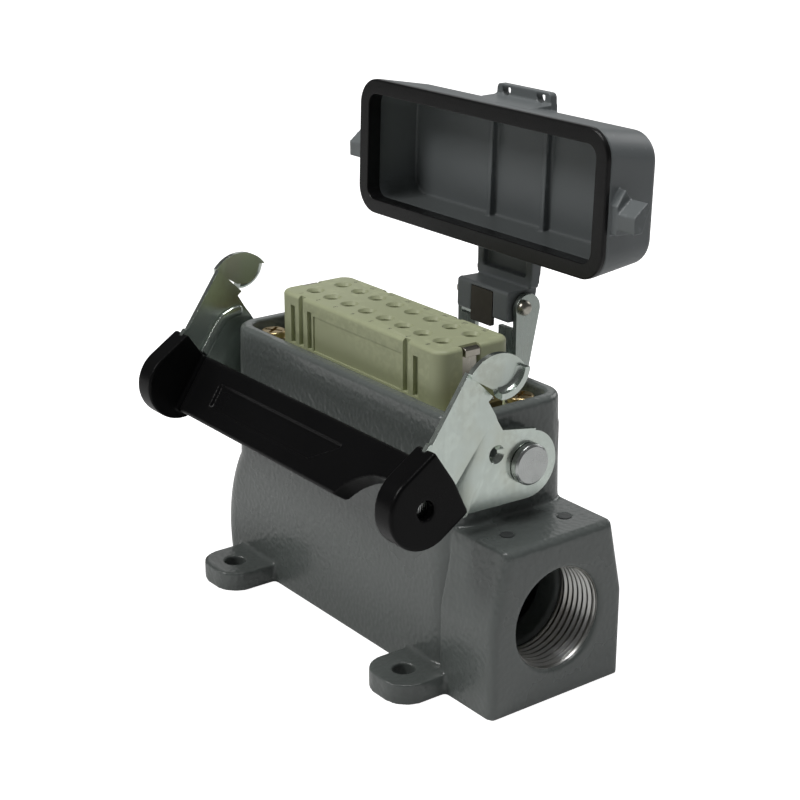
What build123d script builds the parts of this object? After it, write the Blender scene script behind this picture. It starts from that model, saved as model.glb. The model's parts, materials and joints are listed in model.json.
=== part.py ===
"""Rectangular multipole connector: surface housing, contact insert, locking lever and hinged cover.

Frame: +Z up, base on Z = 0, origin at the centre of the collar in plan. +X runs to the cable entry,
-Y is the long side with the handle, +Y the long side with the cover's hinge. Millimetres.
The lever and the cover are drawn open. The cover is built shut on the collar, then swung open.
"""

import os
from math import cos, hypot, radians, sin, sqrt, tan

from build123d import *

os.makedirs("parts", exist_ok=True)

# Clearances
running_gap = 0.1
slide_gap = 0.1
seat_gap = 0.15
insert_end_gap = 1.2
insert_side_gap = 0.5

# Housing casting
rim_height = 57.0
collar_corner = 6.0
collar_wall = 2.8
housing_draft = 1.3
floor_thickness = 4.0
rim_round = 1.1
end_bulge = 4.9
end_bulge_top = 25.5
end_bulge_belly = 8.5
end_bulge_toe = 3.9
end_bulge_corner = 5.5
insert_post_length = 9.6
insert_post_width = 7.6
insert_post_corner = 1.8
insert_post_drop = 20.8

# Cable entry block, stepping down from the collar at +X
entry_length = 14.8
entry_top_drop = 12.1
entry_half_width = 17.0
entry_top_half_width = 13.6
entry_kink_height = 18.9
entry_corner = 1.6
entry_axis_height = 17.2
entry_thread_major = 22.5
entry_thread_minor = 21.3
entry_thread_depth = 12.3
entry_throat_radius = 9.9
entry_mark_radius = 1.5
entry_mark_depth = 0.6
entry_mark_setback = 7.7
entry_mark_y = 7.4

# Mounting feet
foot_pitch_x = 63.6
foot_pitch_y = 44.0
foot_centre_x = 2.2
foot_half_width = 7.2
foot_nose = 6.2
foot_corner = 5.6
foot_thickness = 4.4
foot_hole_radius = 2.3

# Contact insert
insert_screw_pitch_x = 66.0
insert_screw_pitch_y = 16.0
insert_screw_clearance = 4.4
insert_seat_drop = 6.2
insert_flange_end_margin = 3.5
insert_flange_side_margin = 3.4
insert_flange_thickness = 3.0
insert_flange_corner = 2.2
insert_body_width = 18.4
insert_height = 15.8
insert_corner = 3.0
insert_top_round = 0.9
insert_skirt_end_step = 1.1
insert_skirt_side_step = 0.7
insert_skirt_corner = 1.5
insert_skirt_drop = 8.3
insert_rear_drop = 16.8
contact_columns = 8
contact_pitch_x = 6.4
contact_pitch_y = 7.32
contact_hole_radius = 1.5
contact_mouth_radius = 2.0
contact_mouth_angle = 70
contact_sleeve_radius = 1.4
contact_bore_radius = 1.05
contact_sleeve_recess = 2.6
contact_sleeve_drop = 15.8
closed_groove_x = (-23.1, -16.8, 20.8)
open_groove_x = (-20.0, 17.4)
groove_width = 1.7
groove_depth = 0.9
groove_foot_rise = 4.8
closed_groove_rise = 13.2
panel_left = -15.4
panel_right = 16.0
panel_rise = 12.6
panel_depth = 0.35
key_notch_x = (-12.4, 12.4)
key_notch_width = 2.2
key_notch_depth = 1.2

# Small metal parts of the insert
screw_shank_radius = 1.45
screw_head_radius = 2.8
screw_head_height = 1.4
screw_length = 9.0
screw_slot_width = 0.8
screw_slot_depth = 0.7
screw_slot_angle = 35
washer_radius = 3.2
washer_thickness = 0.6
clip_centre_y = -1.2
clip_width = 3.7
clip_slot_width = 4.6
clip_thickness = 0.8
clip_inset = 0.7
clip_hook_reach = 1.1
clip_hook_height = 1.4
clip_roll_rise = 0.4
clip_top_drop = 0.2
terminal_screw_radius = 1.3
terminal_screw_drop = 12.6
terminal_slot_width = 0.5
terminal_slot_depth = 0.6
earth_block_size = 5.0
earth_block_height = 2.6
earth_block_setout = 5.0
earth_screw_radius = 1.3

# Locking lever, drawn open; points are (y, z) from the pivot
pivot_drop = 10.3
pivot_rivet_radius = 2.1
pivot_shank_radius = 2.6
pivot_head_radius = 4.2
pivot_head_height = 1.7
pivot_head_chamfer = 0.4
pivot_rivet_end = 0.8
pivot_boss_radius = 5.0
pivot_boss_length = 2.65
lever_sheet = 1.2
lever_joggle = 0.5
lever_eye_centre = (0.4, -0.5)
lever_eye_radius = 7.0
lever_eye_shoulder = (2.1, 6.68)
ridge_point = (-13.4, 4.5)
ridge_angle = 51.3
ridge_half_width = 0.8
plate_shoulder = (-24.1, 8.8)
plate_heel = (-15.3, -7.05)
plate_notch = (-6.3, 8.15)
plate_neck = (-10.4, 14.9)
hook_root = (-15.2, 21.5)
hook_crest = (-8.7, 24.4)
hook_lip_centre = (-8.3, 21.6)
hook_lip_radius = 5.95
hook_lip_bend = 1.6
hook_press = 0.9
hook_overlap = 0.8
hook_lip_reach = 1.6
hook_lip_start = -100
hook_lip_sweep = 94
dimple_centre = (-7.7, 3.5)
dimple_radius = 1.9
dimple_core_radius = 0.9

# Handle of the lever
grip_centre = (-27.0, -2.3)
grip_nose_radius = 4.6
cheek_radius = 8.1
cheek_clearance = 1.5
cheek_thickness = 5.4
cheek_apex = (-24.9, 8.0)
cheek_heel = (-17.4, -5.0)
cheek_point_radius = 0.6
cheek_edge_round = 0.6
bar_top = (-22.0, 4.1)
bar_bottom = (-29.6, -7.2)
bar_depth = 4.6
bar_wall = 2.6
bar_edge_round = 0.8
bar_sink = 1.0
bar_back_margin = 2.0
bar_notch_margin = 2.0
bar_gutter_width = 2.8
bar_gutter_depth = 1.3
bar_back_corner = 1.2
label_left = -29.4
label_right_top = 17.2
label_right_bottom = 8.4
label_bottom = 3.9
label_top = 9.5
label_depth = 0.6
finger_notch_setback = 7.5
finger_notch_radius = 14.2
finger_notch_rise = 7.4
grip_pin_radius = 1.2
grip_hole_radius = 1.95
grip_hole_depth = 2.2
grip_pin_root = 0.6

# Cover; heights of the pegs are taken from the shell's rim
cover_end_overhang = 0.25
cover_side_overhang = 0.55
cover_height = 14.4
cover_wall = 1.8
cover_crown_wall = 1.6
cover_corner = 6.0
cover_end_slope = 1.55
cover_side_slope = 1.7
cover_crown_shift = 0.45
cover_crown_round = 2.0
cover_rib_x = 8.9
cover_rib_thickness = 1.2
cover_rib_height = 1.6
gasket_width = 3.3
gasket_thickness = 1.2
gasket_lip_height = 2.4
gasket_lip_draft = 9.0
peg_reach = 6.8
peg_root_reach = 2.1
peg_root_outline = ((-3.8, 2.6), (-0.4, 5.2), (5.2, 4.0), (5.2, 0.5), (-0.6, 0.5))
peg_outline = ((-2.0, 4.0), (-0.8, 4.8), (4.1, 2.9), (4.1, 0.8), (0.8, 0.6))
tab_root_half_length = 9.2
tab_tip_half_length = 8.6
tab_reach = 4.0
tab_corner = 1.0
tab_thickness = 1.9
tab_drop = 2.2
tab_hole_x = 5.6
tab_hole_inset = 1.15
tab_hole_radius = 1.3
tab_ramp_reach = 1.6
tab_ramp_height = 6.4
cover_open_deg = 91.7
rim_gap = 0.2

# Hinge of the cover; points of the ears and the knuckle are (y, z) from the hinge line
hinge_setback = 13.5
hinge_rise = 7.7
hinge_pin_radius = 1.0
hinge_dome_radius = 1.7
hinge_dome_height = 1.6
knuckle_radius = 3.4
knuckle_half_width = 8.5
knuckle_block_rise = 4.6
knuckle_block_back = 1.6
knuckle_corner = 0.8
spring_half_width = 3.6
spring_thickness = 0.8
spring_front = 2.6
spring_back = 5.2
spring_corner = 0.5
arm_root_half_width = 9.4
arm_tip_half_width = 9.1
arm_top_drop = 2.0
arm_thickness = 3.5
arm_recess_depth = 1.6
arm_rib_width = 2.0
bracket_sheet = 1.2
bracket_half_width = 10.0
bracket_foot_drop = 26.0
bracket_foot_height = 19.0
bracket_flange_setback = 1.9
bracket_flange_drop = 4.9
bracket_flange_height = 7.8
bracket_flange_inner_x = 4.0
pad_rise = 1.2
pad_margin = 1.5
ear_round = 3.4
ear_offset = (1.4, -0.6)
ear_back_knee = (1.6, -15.7)
ear_foot_depth = 3.9
ear_clearance = 1.6
rivet_pitch = 10.0
rivet_rise = 9.0
rivet_radius = 1.6
rivet_head_radius = 2.8
rivet_head_height = 1.1
rivet_end = 0.4

# Values worked out from the ones above: the insert sets the collar, the collar all that rides on it
insert_flange_length = insert_screw_pitch_x + 2 * insert_flange_end_margin
insert_flange_width = insert_screw_pitch_y + 2 * insert_flange_side_margin
insert_body_length = insert_screw_pitch_x - 2 * insert_screw_clearance
insert_skirt_length = insert_body_length - 2 * insert_skirt_end_step
insert_skirt_width = insert_body_width - 2 * insert_skirt_side_step
collar_length = insert_flange_length + 2 * (insert_end_gap + collar_wall)
collar_width = insert_flange_width + 2 * (insert_side_gap + collar_wall)
half_length = collar_length / 2
half_width = collar_width / 2
insert_seat_height = rim_height - insert_seat_drop
insert_top_height = insert_seat_height + insert_height
insert_skirt_bottom = insert_seat_height - insert_skirt_drop
insert_rear_bottom = insert_seat_height - insert_rear_drop
insert_post_bottom = insert_seat_height - insert_post_drop
contact_sleeve_bottom = insert_seat_height - contact_sleeve_drop
terminal_screw_height = insert_seat_height - terminal_screw_drop
groove_foot_height = insert_seat_height + groove_foot_rise
closed_groove_top = insert_seat_height + closed_groove_rise
clip_top_height = insert_top_height - clip_top_drop
earth_block_x = insert_body_length / 2 + earth_block_setout
flange_top = insert_seat_height + insert_flange_thickness
pivot_height = rim_height - pivot_drop
entry_top = pivot_height - entry_top_drop
entry_face_x = half_length + entry_length
entry_root_x = half_length - collar_wall / 2
entry_mark_x = entry_face_x - entry_mark_setback
pivot_boss_face = half_length + pivot_boss_length
lever_inner_x = pivot_boss_face + seat_gap
lever_outer_x = lever_inner_x + lever_sheet
head_inner_x = lever_outer_x + seat_gap
head_face_x = head_inner_x + pivot_head_height
hook_inner_x = lever_inner_x + lever_joggle
hook_outer_x = lever_outer_x + lever_joggle
cheek_inner = half_length + cheek_clearance
cheek_face = cheek_inner + cheek_thickness
finger_notch_x = half_length - finger_notch_setback
gasket_bottom = rim_height + rim_gap
cover_rim = gasket_bottom + gasket_thickness
cover_top = cover_rim + cover_height
cover_length = collar_length + 2 * cover_end_overhang
cover_width = collar_width + 2 * cover_side_overhang
crown_length = cover_length - 2 * cover_end_slope
crown_width = cover_width - 2 * cover_side_slope
tab_height = cover_top - tab_drop
tab_tip_y = cover_crown_shift - crown_width / 2 - tab_reach
hinge_y = half_width + hinge_setback
hinge_z = rim_height + hinge_rise
arm_topside = cover_top - arm_top_drop
arm_underside = arm_topside - arm_thickness
ear_inner_x = bracket_half_width - bracket_sheet
ear_centre = (hinge_y + ear_offset[0], hinge_z + ear_offset[1])
ear_front_y = ear_centre[0] - ear_round - ear_clearance
bracket_foot_bottom = rim_height - bracket_foot_drop
bracket_foot_top = bracket_foot_bottom + bracket_foot_height
bracket_flange_y = hinge_y - bracket_flange_setback
bracket_flange_top = hinge_z - bracket_flange_drop
bracket_flange_bottom = bracket_flange_top - bracket_flange_height
pad_face_y = half_width + pad_rise
rivet_height = bracket_foot_bottom + rivet_rise
hinge_axis = Axis((0, hinge_y, hinge_z), (1, 0, 0))
insert_screw_spots = [
    (side_x * insert_screw_pitch_x / 2, side_y * insert_screw_pitch_y / 2)
    for side_x in (-1, 1)
    for side_y in (-1, 1)
]
contact_spots = [
    ((column - (contact_columns - 1) / 2) * contact_pitch_x, side * contact_pitch_y / 2)
    for side in (-1, 1)
    for column in range(contact_columns)
]
foot_spots = [
    (foot_centre_x + side_x * foot_pitch_x / 2, side_y * foot_pitch_y / 2)
    for side_x in (-1, 1)
    for side_y in (-1, 1)
]
rivet_spots = [(-rivet_pitch / 2, rivet_height), (rivet_pitch / 2, rivet_height)]
earth_spots = [(-earth_block_x, clip_centre_y), (earth_block_x, clip_centre_y)]


def wall_growth(height):
    """How far the drafted housing wall stands outside its rim size at a height"""
    return (rim_height - height) * tan(radians(housing_draft))


def write(piece, label):
    """Name a finished piece and write it as one STEP file"""
    piece.label = label
    export_step(piece, f"parts/{label}.step")


def at_pivot(point):
    """A (y, z) pair given from the lever's pivot, in the object's frame"""
    return (point[0], pivot_height + point[1])


def at_height(spots, height):
    """Locations at one height over a list of (x, y) pairs"""
    return [Location((x, y, height)) for x, y in spots]


# Closed end: the body's drafted width cut by the arc of the end's profile, its long edges rounded
with BuildPart() as closed_end:
    with BuildSketch(Plane.XY.offset(rim_height)):
        Rectangle(collar_length + 2 * end_bulge, collar_width)
    extrude(amount=-rim_height, taper=-housing_draft)
    with BuildSketch(Plane.XZ.offset(-collar_width)):
        shoulder = (-half_length - wall_growth(end_bulge_top) + slide_gap, end_bulge_top)
        belly = (-half_length - end_bulge, end_bulge_belly)
        toe = (-half_length - end_bulge_toe, 0)
        with BuildLine():
            ThreePointArc(shoulder, belly, toe)
            Polyline(toe, (-half_length / 2, 0), (-half_length / 2, end_bulge_top), shoulder)
        make_face()
    extrude(amount=2 * collar_width, mode=Mode.INTERSECT)
    end_corners = closed_end.edges().filter_by(
        lambda edge: edge.center().X < -half_length and abs(edge.center().Y) > half_width - 1
    )
    fillet(end_corners, end_bulge_corner)

# Housing: drafted body, closed end, entry block and feet, then the hollows
with BuildPart() as housing:
    with BuildSketch(Plane.XY.offset(rim_height)):
        RectangleRounded(collar_length, collar_width, collar_corner)
    extrude(amount=-rim_height, taper=-housing_draft)
    fillet(housing.faces().sort_by(Axis.Z)[-1].edges(), rim_round)
    add(closed_end.part)

    # Cable entry block: upright sides to the kink, then tapering in to the top
    with BuildSketch(Plane.YZ.offset(entry_root_x)):
        with BuildLine():
            Polyline(
                (-entry_half_width, 0),
                (entry_half_width, 0),
                (entry_half_width, entry_kink_height),
                (entry_top_half_width, entry_top),
                (-entry_top_half_width, entry_top),
                (-entry_half_width, entry_kink_height),
                close=True,
            )
        make_face()
    extrude(amount=entry_face_x - entry_root_x)
    end_face = housing.faces().sort_by(Axis.X)[-1]
    fillet(end_face.edges().filter_by(lambda edge: edge.center().Z > 1), entry_corner)

    # Four feet with rounded noses, running out of the long walls
    with BuildSketch(Plane.XY):
        for x, y in foot_spots:
            foot_length = abs(y) + foot_nose - half_width + 2 * collar_wall
            foot_middle = abs(y) + foot_nose - foot_length / 2
            with Locations((x, foot_middle if y > 0 else -foot_middle)):
                RectangleRounded(2 * foot_half_width, foot_length, foot_corner)
    extrude(amount=foot_thickness)

    # Bosses of the pivot studs, and the flat pad of the hinge bracket
    with BuildSketch(Plane.YZ.offset(-pivot_boss_face)):
        with Locations((0, pivot_height)):
            Circle(pivot_boss_radius)
    extrude(amount=2 * pivot_boss_face)
    with BuildSketch(Plane.XZ.offset(-pad_face_y)):
        with Locations((0, (bracket_foot_bottom + bracket_foot_top) / 2)):
            pad_height = bracket_foot_top - bracket_foot_bottom + 2 * pad_margin
            RectangleRounded(2 * (bracket_half_width + pad_margin), pad_height, pad_margin)
    extrude(amount=pad_face_y - half_width + collar_wall)

    # Hollow of the collar and the wiring space, then the posts that carry the insert
    with BuildSketch(Plane.XY.offset(rim_height)):
        RectangleRounded(
            collar_length - 2 * collar_wall,
            collar_width - 2 * collar_wall,
            collar_corner - collar_wall,
        )
    extrude(amount=floor_thickness - rim_height, mode=Mode.SUBTRACT)
    with BuildSketch(Plane.XY.offset(insert_post_bottom)):
        for x, y in insert_screw_spots:
            post_x = (half_length - insert_post_length / 2 - 1) * (1 if x > 0 else -1)
            post_y = (half_width - insert_post_width / 2 - 1) * (1 if y > 0 else -1)
            with Locations((post_x, post_y)):
                RectangleRounded(insert_post_length, insert_post_width, insert_post_corner)
    extrude(amount=insert_seat_height - insert_post_bottom)
    with Locations(*at_height(insert_screw_spots, insert_seat_height)):
        Hole(screw_shank_radius + slide_gap, depth=screw_length)

    # Threaded cable entry with its lead-in, then the throat into the wiring space
    with BuildSketch(Plane.YZ.offset(entry_face_x)):
        with Locations((0, entry_axis_height)):
            Circle(entry_thread_minor / 2)
    extrude(amount=-entry_thread_depth, mode=Mode.SUBTRACT)
    with BuildSketch(Plane.YZ.offset(entry_face_x)):
        with Locations((0, entry_axis_height)):
            Circle(entry_throat_radius)
    extrude(amount=-(entry_face_x - half_length + 2 * collar_wall), mode=Mode.SUBTRACT)
    mouth = housing.faces().sort_by(Axis.X)[-1].edges().filter_by(GeomType.CIRCLE)
    chamfer(mouth.sort_by(SortBy.LENGTH)[-1], (entry_thread_major - entry_thread_minor) / 2)

    # Foot holes, cast marks on the block, stud holes and rivet holes
    with Locations(*at_height(foot_spots, foot_thickness)):
        Hole(foot_hole_radius, depth=foot_thickness)
    with Locations((entry_mark_x, -entry_mark_y, entry_top), (entry_mark_x, entry_mark_y, entry_top)):
        Hole(entry_mark_radius, depth=entry_mark_depth)
    with BuildSketch(Plane.YZ.offset(-pivot_boss_face)):
        with Locations((0, pivot_height)):
            Circle(pivot_rivet_radius)
    extrude(amount=2 * pivot_boss_face, mode=Mode.SUBTRACT)
    with BuildSketch(Plane.XZ.offset(-pad_face_y)):
        with Locations(*rivet_spots):
            Circle(rivet_radius)
    extrude(amount=pad_face_y - half_width + 2 * collar_wall, mode=Mode.SUBTRACT)
write(housing.part, "housing")

# Insert moulding: mating block, screw flange and skirt, with the contact holes
with BuildPart() as insert_body:
    with BuildSketch(Plane.XY.offset(insert_seat_height)):
        RectangleRounded(insert_flange_length, insert_flange_width, insert_flange_corner)
    extrude(amount=insert_flange_thickness)
    with BuildSketch(Plane.XY.offset(flange_top)):
        RectangleRounded(insert_body_length, insert_body_width, insert_corner)
    extrude(amount=insert_top_height - flange_top)
    fillet(insert_body.faces().sort_by(Axis.Z)[-1].edges(), insert_top_round)
    with BuildSketch(Plane.XY.offset(insert_seat_height)):
        RectangleRounded(insert_skirt_length, insert_skirt_width, insert_skirt_corner)
    extrude(amount=insert_skirt_bottom - insert_seat_height)
    with Locations(*at_height(contact_spots, insert_top_height)):
        CounterSinkHole(
            contact_hole_radius,
            contact_mouth_radius,
            depth=insert_top_height - insert_skirt_bottom,
            counter_sink_angle=contact_mouth_angle,
        )
    with Locations(*at_height(insert_screw_spots, flange_top)):
        Hole(screw_shank_radius + slide_gap, depth=insert_flange_thickness)

    # Upright grooves of the front face: three stop below the top, two run out of it
    with BuildSketch(Plane.XY.offset(groove_foot_height)):
        for x in closed_groove_x:
            with Locations((x, -insert_body_width / 2)):
                Rectangle(groove_width, 2 * groove_depth)
    extrude(amount=closed_groove_top - groove_foot_height, mode=Mode.SUBTRACT)
    with BuildSketch(Plane.XY.offset(groove_foot_height)):
        for x in open_groove_x:
            with Locations((x, -insert_body_width / 2)):
                Rectangle(groove_width, 2 * groove_depth)
        for x in key_notch_x:
            with Locations((x, insert_body_width / 2)):
                Rectangle(key_notch_width, 2 * key_notch_depth)
    extrude(amount=insert_top_height - groove_foot_height, mode=Mode.SUBTRACT)

    # Shallow panel between the grooves of the front face
    with BuildSketch(Plane.XY.offset(groove_foot_height)):
        with Locations(((panel_left + panel_right) / 2, -insert_body_width / 2)):
            Rectangle(panel_right - panel_left, 2 * panel_depth)
    extrude(amount=insert_seat_height + panel_rise - groove_foot_height, mode=Mode.SUBTRACT)

    # Slots of the earth clips in both ends
    with BuildSketch(Plane.XY.offset(flange_top)):
        for side in (-1, 1):
            with Locations((side * insert_body_length / 2, clip_centre_y)):
                Rectangle(2 * (clip_thickness + clip_inset + slide_gap), clip_slot_width)
    extrude(amount=insert_top_height - flange_top, mode=Mode.SUBTRACT)
write(insert_body.part, "insert_body")

# Terminal carrier under the insert: a wire hole under every contact, a tunnel to every clamp
with BuildPart() as insert_rear:
    with BuildSketch(Plane.XY.offset(insert_rear_bottom)):
        RectangleRounded(insert_skirt_length, insert_skirt_width, insert_skirt_corner)
    extrude(amount=insert_skirt_bottom - insert_rear_bottom)
    with Locations(*at_height(contact_spots, insert_skirt_bottom)):
        Hole(contact_hole_radius, depth=insert_skirt_bottom - insert_rear_bottom)
    with BuildSketch(Plane.XZ.offset(-insert_skirt_width / 2)):
        for column in range(contact_columns):
            with Locations((contact_spots[column][0], terminal_screw_height)):
                Circle(terminal_screw_radius + slide_gap)
    extrude(amount=(insert_skirt_width - contact_pitch_y) / 2, mode=Mode.SUBTRACT)
    with BuildSketch(Plane.XZ.offset(insert_skirt_width / 2)):
        for column in range(contact_columns):
            with Locations((contact_spots[column][0], terminal_screw_height)):
                Circle(terminal_screw_radius + slide_gap)
    extrude(amount=-(insert_skirt_width - contact_pitch_y) / 2, mode=Mode.SUBTRACT)
write(insert_rear.part, "insert_rear")

# Contact sleeves: sixteen tubes, bored from the mating end
sleeve_top = insert_top_height - contact_sleeve_recess
with BuildPart() as contact_sleeves:
    with BuildSketch(Plane.XY.offset(contact_sleeve_bottom)):
        with Locations(*contact_spots):
            Circle(contact_sleeve_radius)
    extrude(amount=sleeve_top - contact_sleeve_bottom)
    with BuildSketch(Plane.XY.offset(sleeve_top)):
        with Locations(*contact_spots):
            Circle(contact_bore_radius)
    extrude(amount=-(sleeve_top - contact_sleeve_bottom) / 2, mode=Mode.SUBTRACT)
write(contact_sleeves.part, "contact_sleeves")

# Clamping screws of the terminals, lying in the tunnels with their tips at the sleeves
clamp_tip_y = contact_pitch_y / 2 + contact_sleeve_radius + slide_gap
clamp_head_y = insert_skirt_width / 2 - terminal_slot_depth
with BuildPart() as terminal_screws:
    for side in (-1, 1):
        with BuildSketch(Plane.XZ.offset(side * clamp_tip_y)):
            for column in range(contact_columns):
                with Locations((contact_spots[column][0], terminal_screw_height)):
                    Circle(terminal_screw_radius)
        extrude(amount=side * (clamp_head_y - clamp_tip_y))
        with BuildSketch(Plane.XZ.offset(side * clamp_head_y)):
            for column in range(contact_columns):
                with Locations((contact_spots[column][0], terminal_screw_height)):
                    Rectangle(3 * terminal_screw_radius, terminal_slot_width)
        extrude(amount=-side * terminal_slot_depth, mode=Mode.SUBTRACT)
write(terminal_screws.part, "terminal_screws")

# Captive screws of the insert with crossed slots, and the washer under each head
head_base = flange_top + washer_thickness
head_top = head_base + screw_head_height
with BuildPart() as insert_screws:
    with BuildSketch(Plane.XY.offset(head_base)):
        with Locations(*insert_screw_spots):
            Circle(screw_head_radius)
    extrude(amount=screw_head_height)
    head_rims = insert_screws.edges().filter_by(GeomType.CIRCLE).group_by(Axis.Z)[-1]
    fillet(head_rims, screw_head_height / 3)
    with BuildSketch(Plane.XY.offset(head_base)):
        with Locations(*insert_screw_spots):
            Circle(screw_shank_radius)
    extrude(amount=-screw_length)
    with BuildSketch(Plane.XY.offset(head_top)):
        with Locations(*insert_screw_spots):
            Rectangle(1.5 * screw_head_radius, screw_slot_width, rotation=screw_slot_angle)
            Rectangle(screw_slot_width, 1.5 * screw_head_radius, rotation=screw_slot_angle)
    extrude(amount=-screw_slot_depth, mode=Mode.SUBTRACT)
write(insert_screws.part, "insert_screws")

with BuildPart() as screw_washers:
    with BuildSketch(Plane.XY.offset(flange_top)):
        with Locations(*insert_screw_spots):
            Circle(washer_radius)
            Circle(screw_shank_radius + slide_gap, mode=Mode.SUBTRACT)
    extrude(amount=washer_thickness)
write(screw_washers.part, "screw_washers")

# Earth clip: strip in the end slot, hooked outward at the top and bent out along the flange
clip_wall_x = insert_body_length / 2 - clip_inset - clip_thickness
clip_face_x = clip_wall_x + clip_thickness
clip_hook_x = clip_wall_x + clip_thickness + clip_hook_reach
clip_shoulder = clip_top_height - clip_roll_rise
with BuildPart() as earth_clip:
    with BuildSketch(Plane.XZ.offset(-clip_centre_y - clip_width / 2)):
        with BuildLine():
            Line((clip_wall_x, flange_top), (clip_wall_x, clip_shoulder))
            ThreePointArc(
                (clip_wall_x, clip_shoulder),
                ((clip_wall_x + clip_hook_x) / 2, clip_top_height),
                (clip_hook_x, clip_shoulder),
            )
            Polyline(
                (clip_hook_x, clip_shoulder),
                (clip_hook_x, clip_shoulder - clip_hook_height),
                (clip_face_x, clip_shoulder - clip_hook_height),
                (clip_face_x, flange_top + clip_thickness),
                (earth_block_x + earth_block_size / 2, flange_top + clip_thickness),
                (earth_block_x + earth_block_size / 2, flange_top),
                (clip_wall_x, flange_top),
            )
        make_face()
    extrude(amount=clip_width)
write(earth_clip.part, "earth_clip_right")
write(mirror(earth_clip.part, about=Plane.YZ), "earth_clip_left")

# Earth terminals: a block on each clip's foot, with its clamping screw
block_base = flange_top + clip_thickness
with BuildPart() as earth_terminals:
    with BuildSketch(Plane.XY.offset(block_base)):
        with Locations(*earth_spots):
            Rectangle(earth_block_size, clip_width)
    extrude(amount=earth_block_height)
    with BuildSketch(Plane.XY.offset(block_base)):
        with Locations(*earth_spots):
            Circle(earth_screw_radius + slide_gap)
    extrude(amount=earth_block_height, mode=Mode.SUBTRACT)
write(earth_terminals.part, "earth_terminals")

with BuildPart() as earth_screws:
    with BuildSketch(Plane.XY.offset(block_base + slide_gap)):
        with Locations(*earth_spots):
            Circle(earth_screw_radius)
    extrude(amount=earth_block_height)
    with BuildSketch(Plane.XY.offset(block_base + slide_gap + earth_block_height)):
        with Locations(*earth_spots):
            Rectangle(3 * earth_screw_radius, terminal_slot_width)
    extrude(amount=-terminal_slot_depth, mode=Mode.SUBTRACT)
write(earth_screws.part, "earth_screws")

# Pivot studs, riveted through the end walls of the collar
stud_end_x = half_length - collar_wall - pivot_rivet_end
with BuildPart() as pivot_stud:
    with BuildSketch(Plane.XZ):
        with BuildLine():
            Polyline(
                (stud_end_x, pivot_height),
                (stud_end_x, pivot_height + pivot_rivet_radius),
                (pivot_boss_face, pivot_height + pivot_rivet_radius),
                (pivot_boss_face, pivot_height + pivot_shank_radius),
                (head_inner_x, pivot_height + pivot_shank_radius),
                (head_inner_x, pivot_height + pivot_head_radius),
                (head_face_x - pivot_head_chamfer, pivot_height + pivot_head_radius),
                (head_face_x, pivot_height + pivot_head_radius - pivot_head_chamfer),
                (head_face_x, pivot_height),
                close=True,
            )
        make_face()
    revolve(axis=Axis((0, 0, pivot_height), (1, 0, 0)))
write(pivot_stud.part, "pivot_stud_right")
write(mirror(pivot_stud.part, about=Plane.YZ), "pivot_stud_left")


def lip_point(radius, angle):
    """A (y, z) point round the centre of the hook's lip, given from the pivot"""
    turn = radians(angle)
    return (hook_lip_centre[0] + radius * cos(turn), hook_lip_centre[1] + radius * sin(turn))


def side_plate(growth):
    """Lever plate: its outline cut from a sheet that steps outward across the ridge line"""
    across = (0, -sin(radians(ridge_angle)), cos(radians(ridge_angle)))
    along = (0, cos(radians(ridge_angle)), sin(radians(ridge_angle)))
    span = 2 * half_length
    hook_base = lip_point(hook_lip_radius, hook_lip_start)
    inner = lever_inner_x - growth
    outer = lever_outer_x + growth
    with BuildPart() as plate:
        with BuildSketch(Plane.YZ.offset(lever_inner_x - 1)):
            with Locations(at_pivot(grip_centre)):
                Circle(grip_nose_radius)
            with Locations(at_pivot(plate_shoulder), at_pivot(plate_heel)):
                Circle(cheek_point_radius)
            make_hull()
            with BuildLine():
                Polyline(
                    at_pivot(plate_shoulder),
                    at_pivot(plate_heel),
                    at_pivot((lever_eye_centre[0], lever_eye_centre[1] - lever_eye_radius)),
                    at_pivot(lever_eye_centre),
                    at_pivot(lever_eye_shoulder),
                    at_pivot(plate_notch),
                    at_pivot(plate_neck),
                    at_pivot(hook_base),
                    at_pivot(hook_root),
                    at_pivot(plate_shoulder),
                )
            make_face()
            with Locations(at_pivot(lever_eye_centre)):
                Circle(lever_eye_radius)
            if growth:
                offset(amount=growth)
        extrude(amount=lever_joggle + lever_sheet + 2)
        ridge_plane = Plane(origin=(0, *at_pivot(ridge_point)), x_dir=across, z_dir=along)
        with BuildSketch(ridge_plane.offset(-span)):
            with BuildLine():
                Polyline(
                    (-span, inner),
                    (-ridge_half_width, inner),
                    (ridge_half_width, inner + lever_joggle),
                    (span, inner + lever_joggle),
                    (span, outer + lever_joggle),
                    (ridge_half_width, outer + lever_joggle),
                    (-ridge_half_width, outer),
                    (-span, outer),
                    close=True,
                )
            make_face()
        extrude(amount=2 * span, mode=Mode.INTERSECT)
    return plate.part


# Hook: the plate's end pressed outward, its upper edge and its tip on one arc
hook_edge = hook_lip_radius - hook_lip_bend
hook_tip = lip_point(hook_lip_radius, hook_lip_start + hook_lip_sweep)
edge_start = lip_point(hook_edge, hook_lip_start)
edge_middle = lip_point(hook_edge, hook_lip_start + hook_lip_sweep / 2)
edge_end = lip_point(hook_edge, hook_lip_start + hook_lip_sweep)
with BuildPart() as hook_disc:
    with BuildSketch(Plane.YZ.offset(hook_inner_x + hook_press)):
        with BuildLine():
            ThreePointArc(at_pivot(hook_root), at_pivot(hook_crest), at_pivot(hook_tip))
            Line(at_pivot(hook_tip), at_pivot(edge_end))
            ThreePointArc(at_pivot(edge_end), at_pivot(edge_middle), at_pivot(edge_start))
            Polyline(
                at_pivot(edge_start),
                at_pivot((edge_start[0] - hook_overlap, edge_start[1])),
                at_pivot((hook_root[0], hook_root[1] - hook_overlap)),
                at_pivot(hook_root),
            )
        make_face()
    extrude(amount=lever_sheet)

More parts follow.
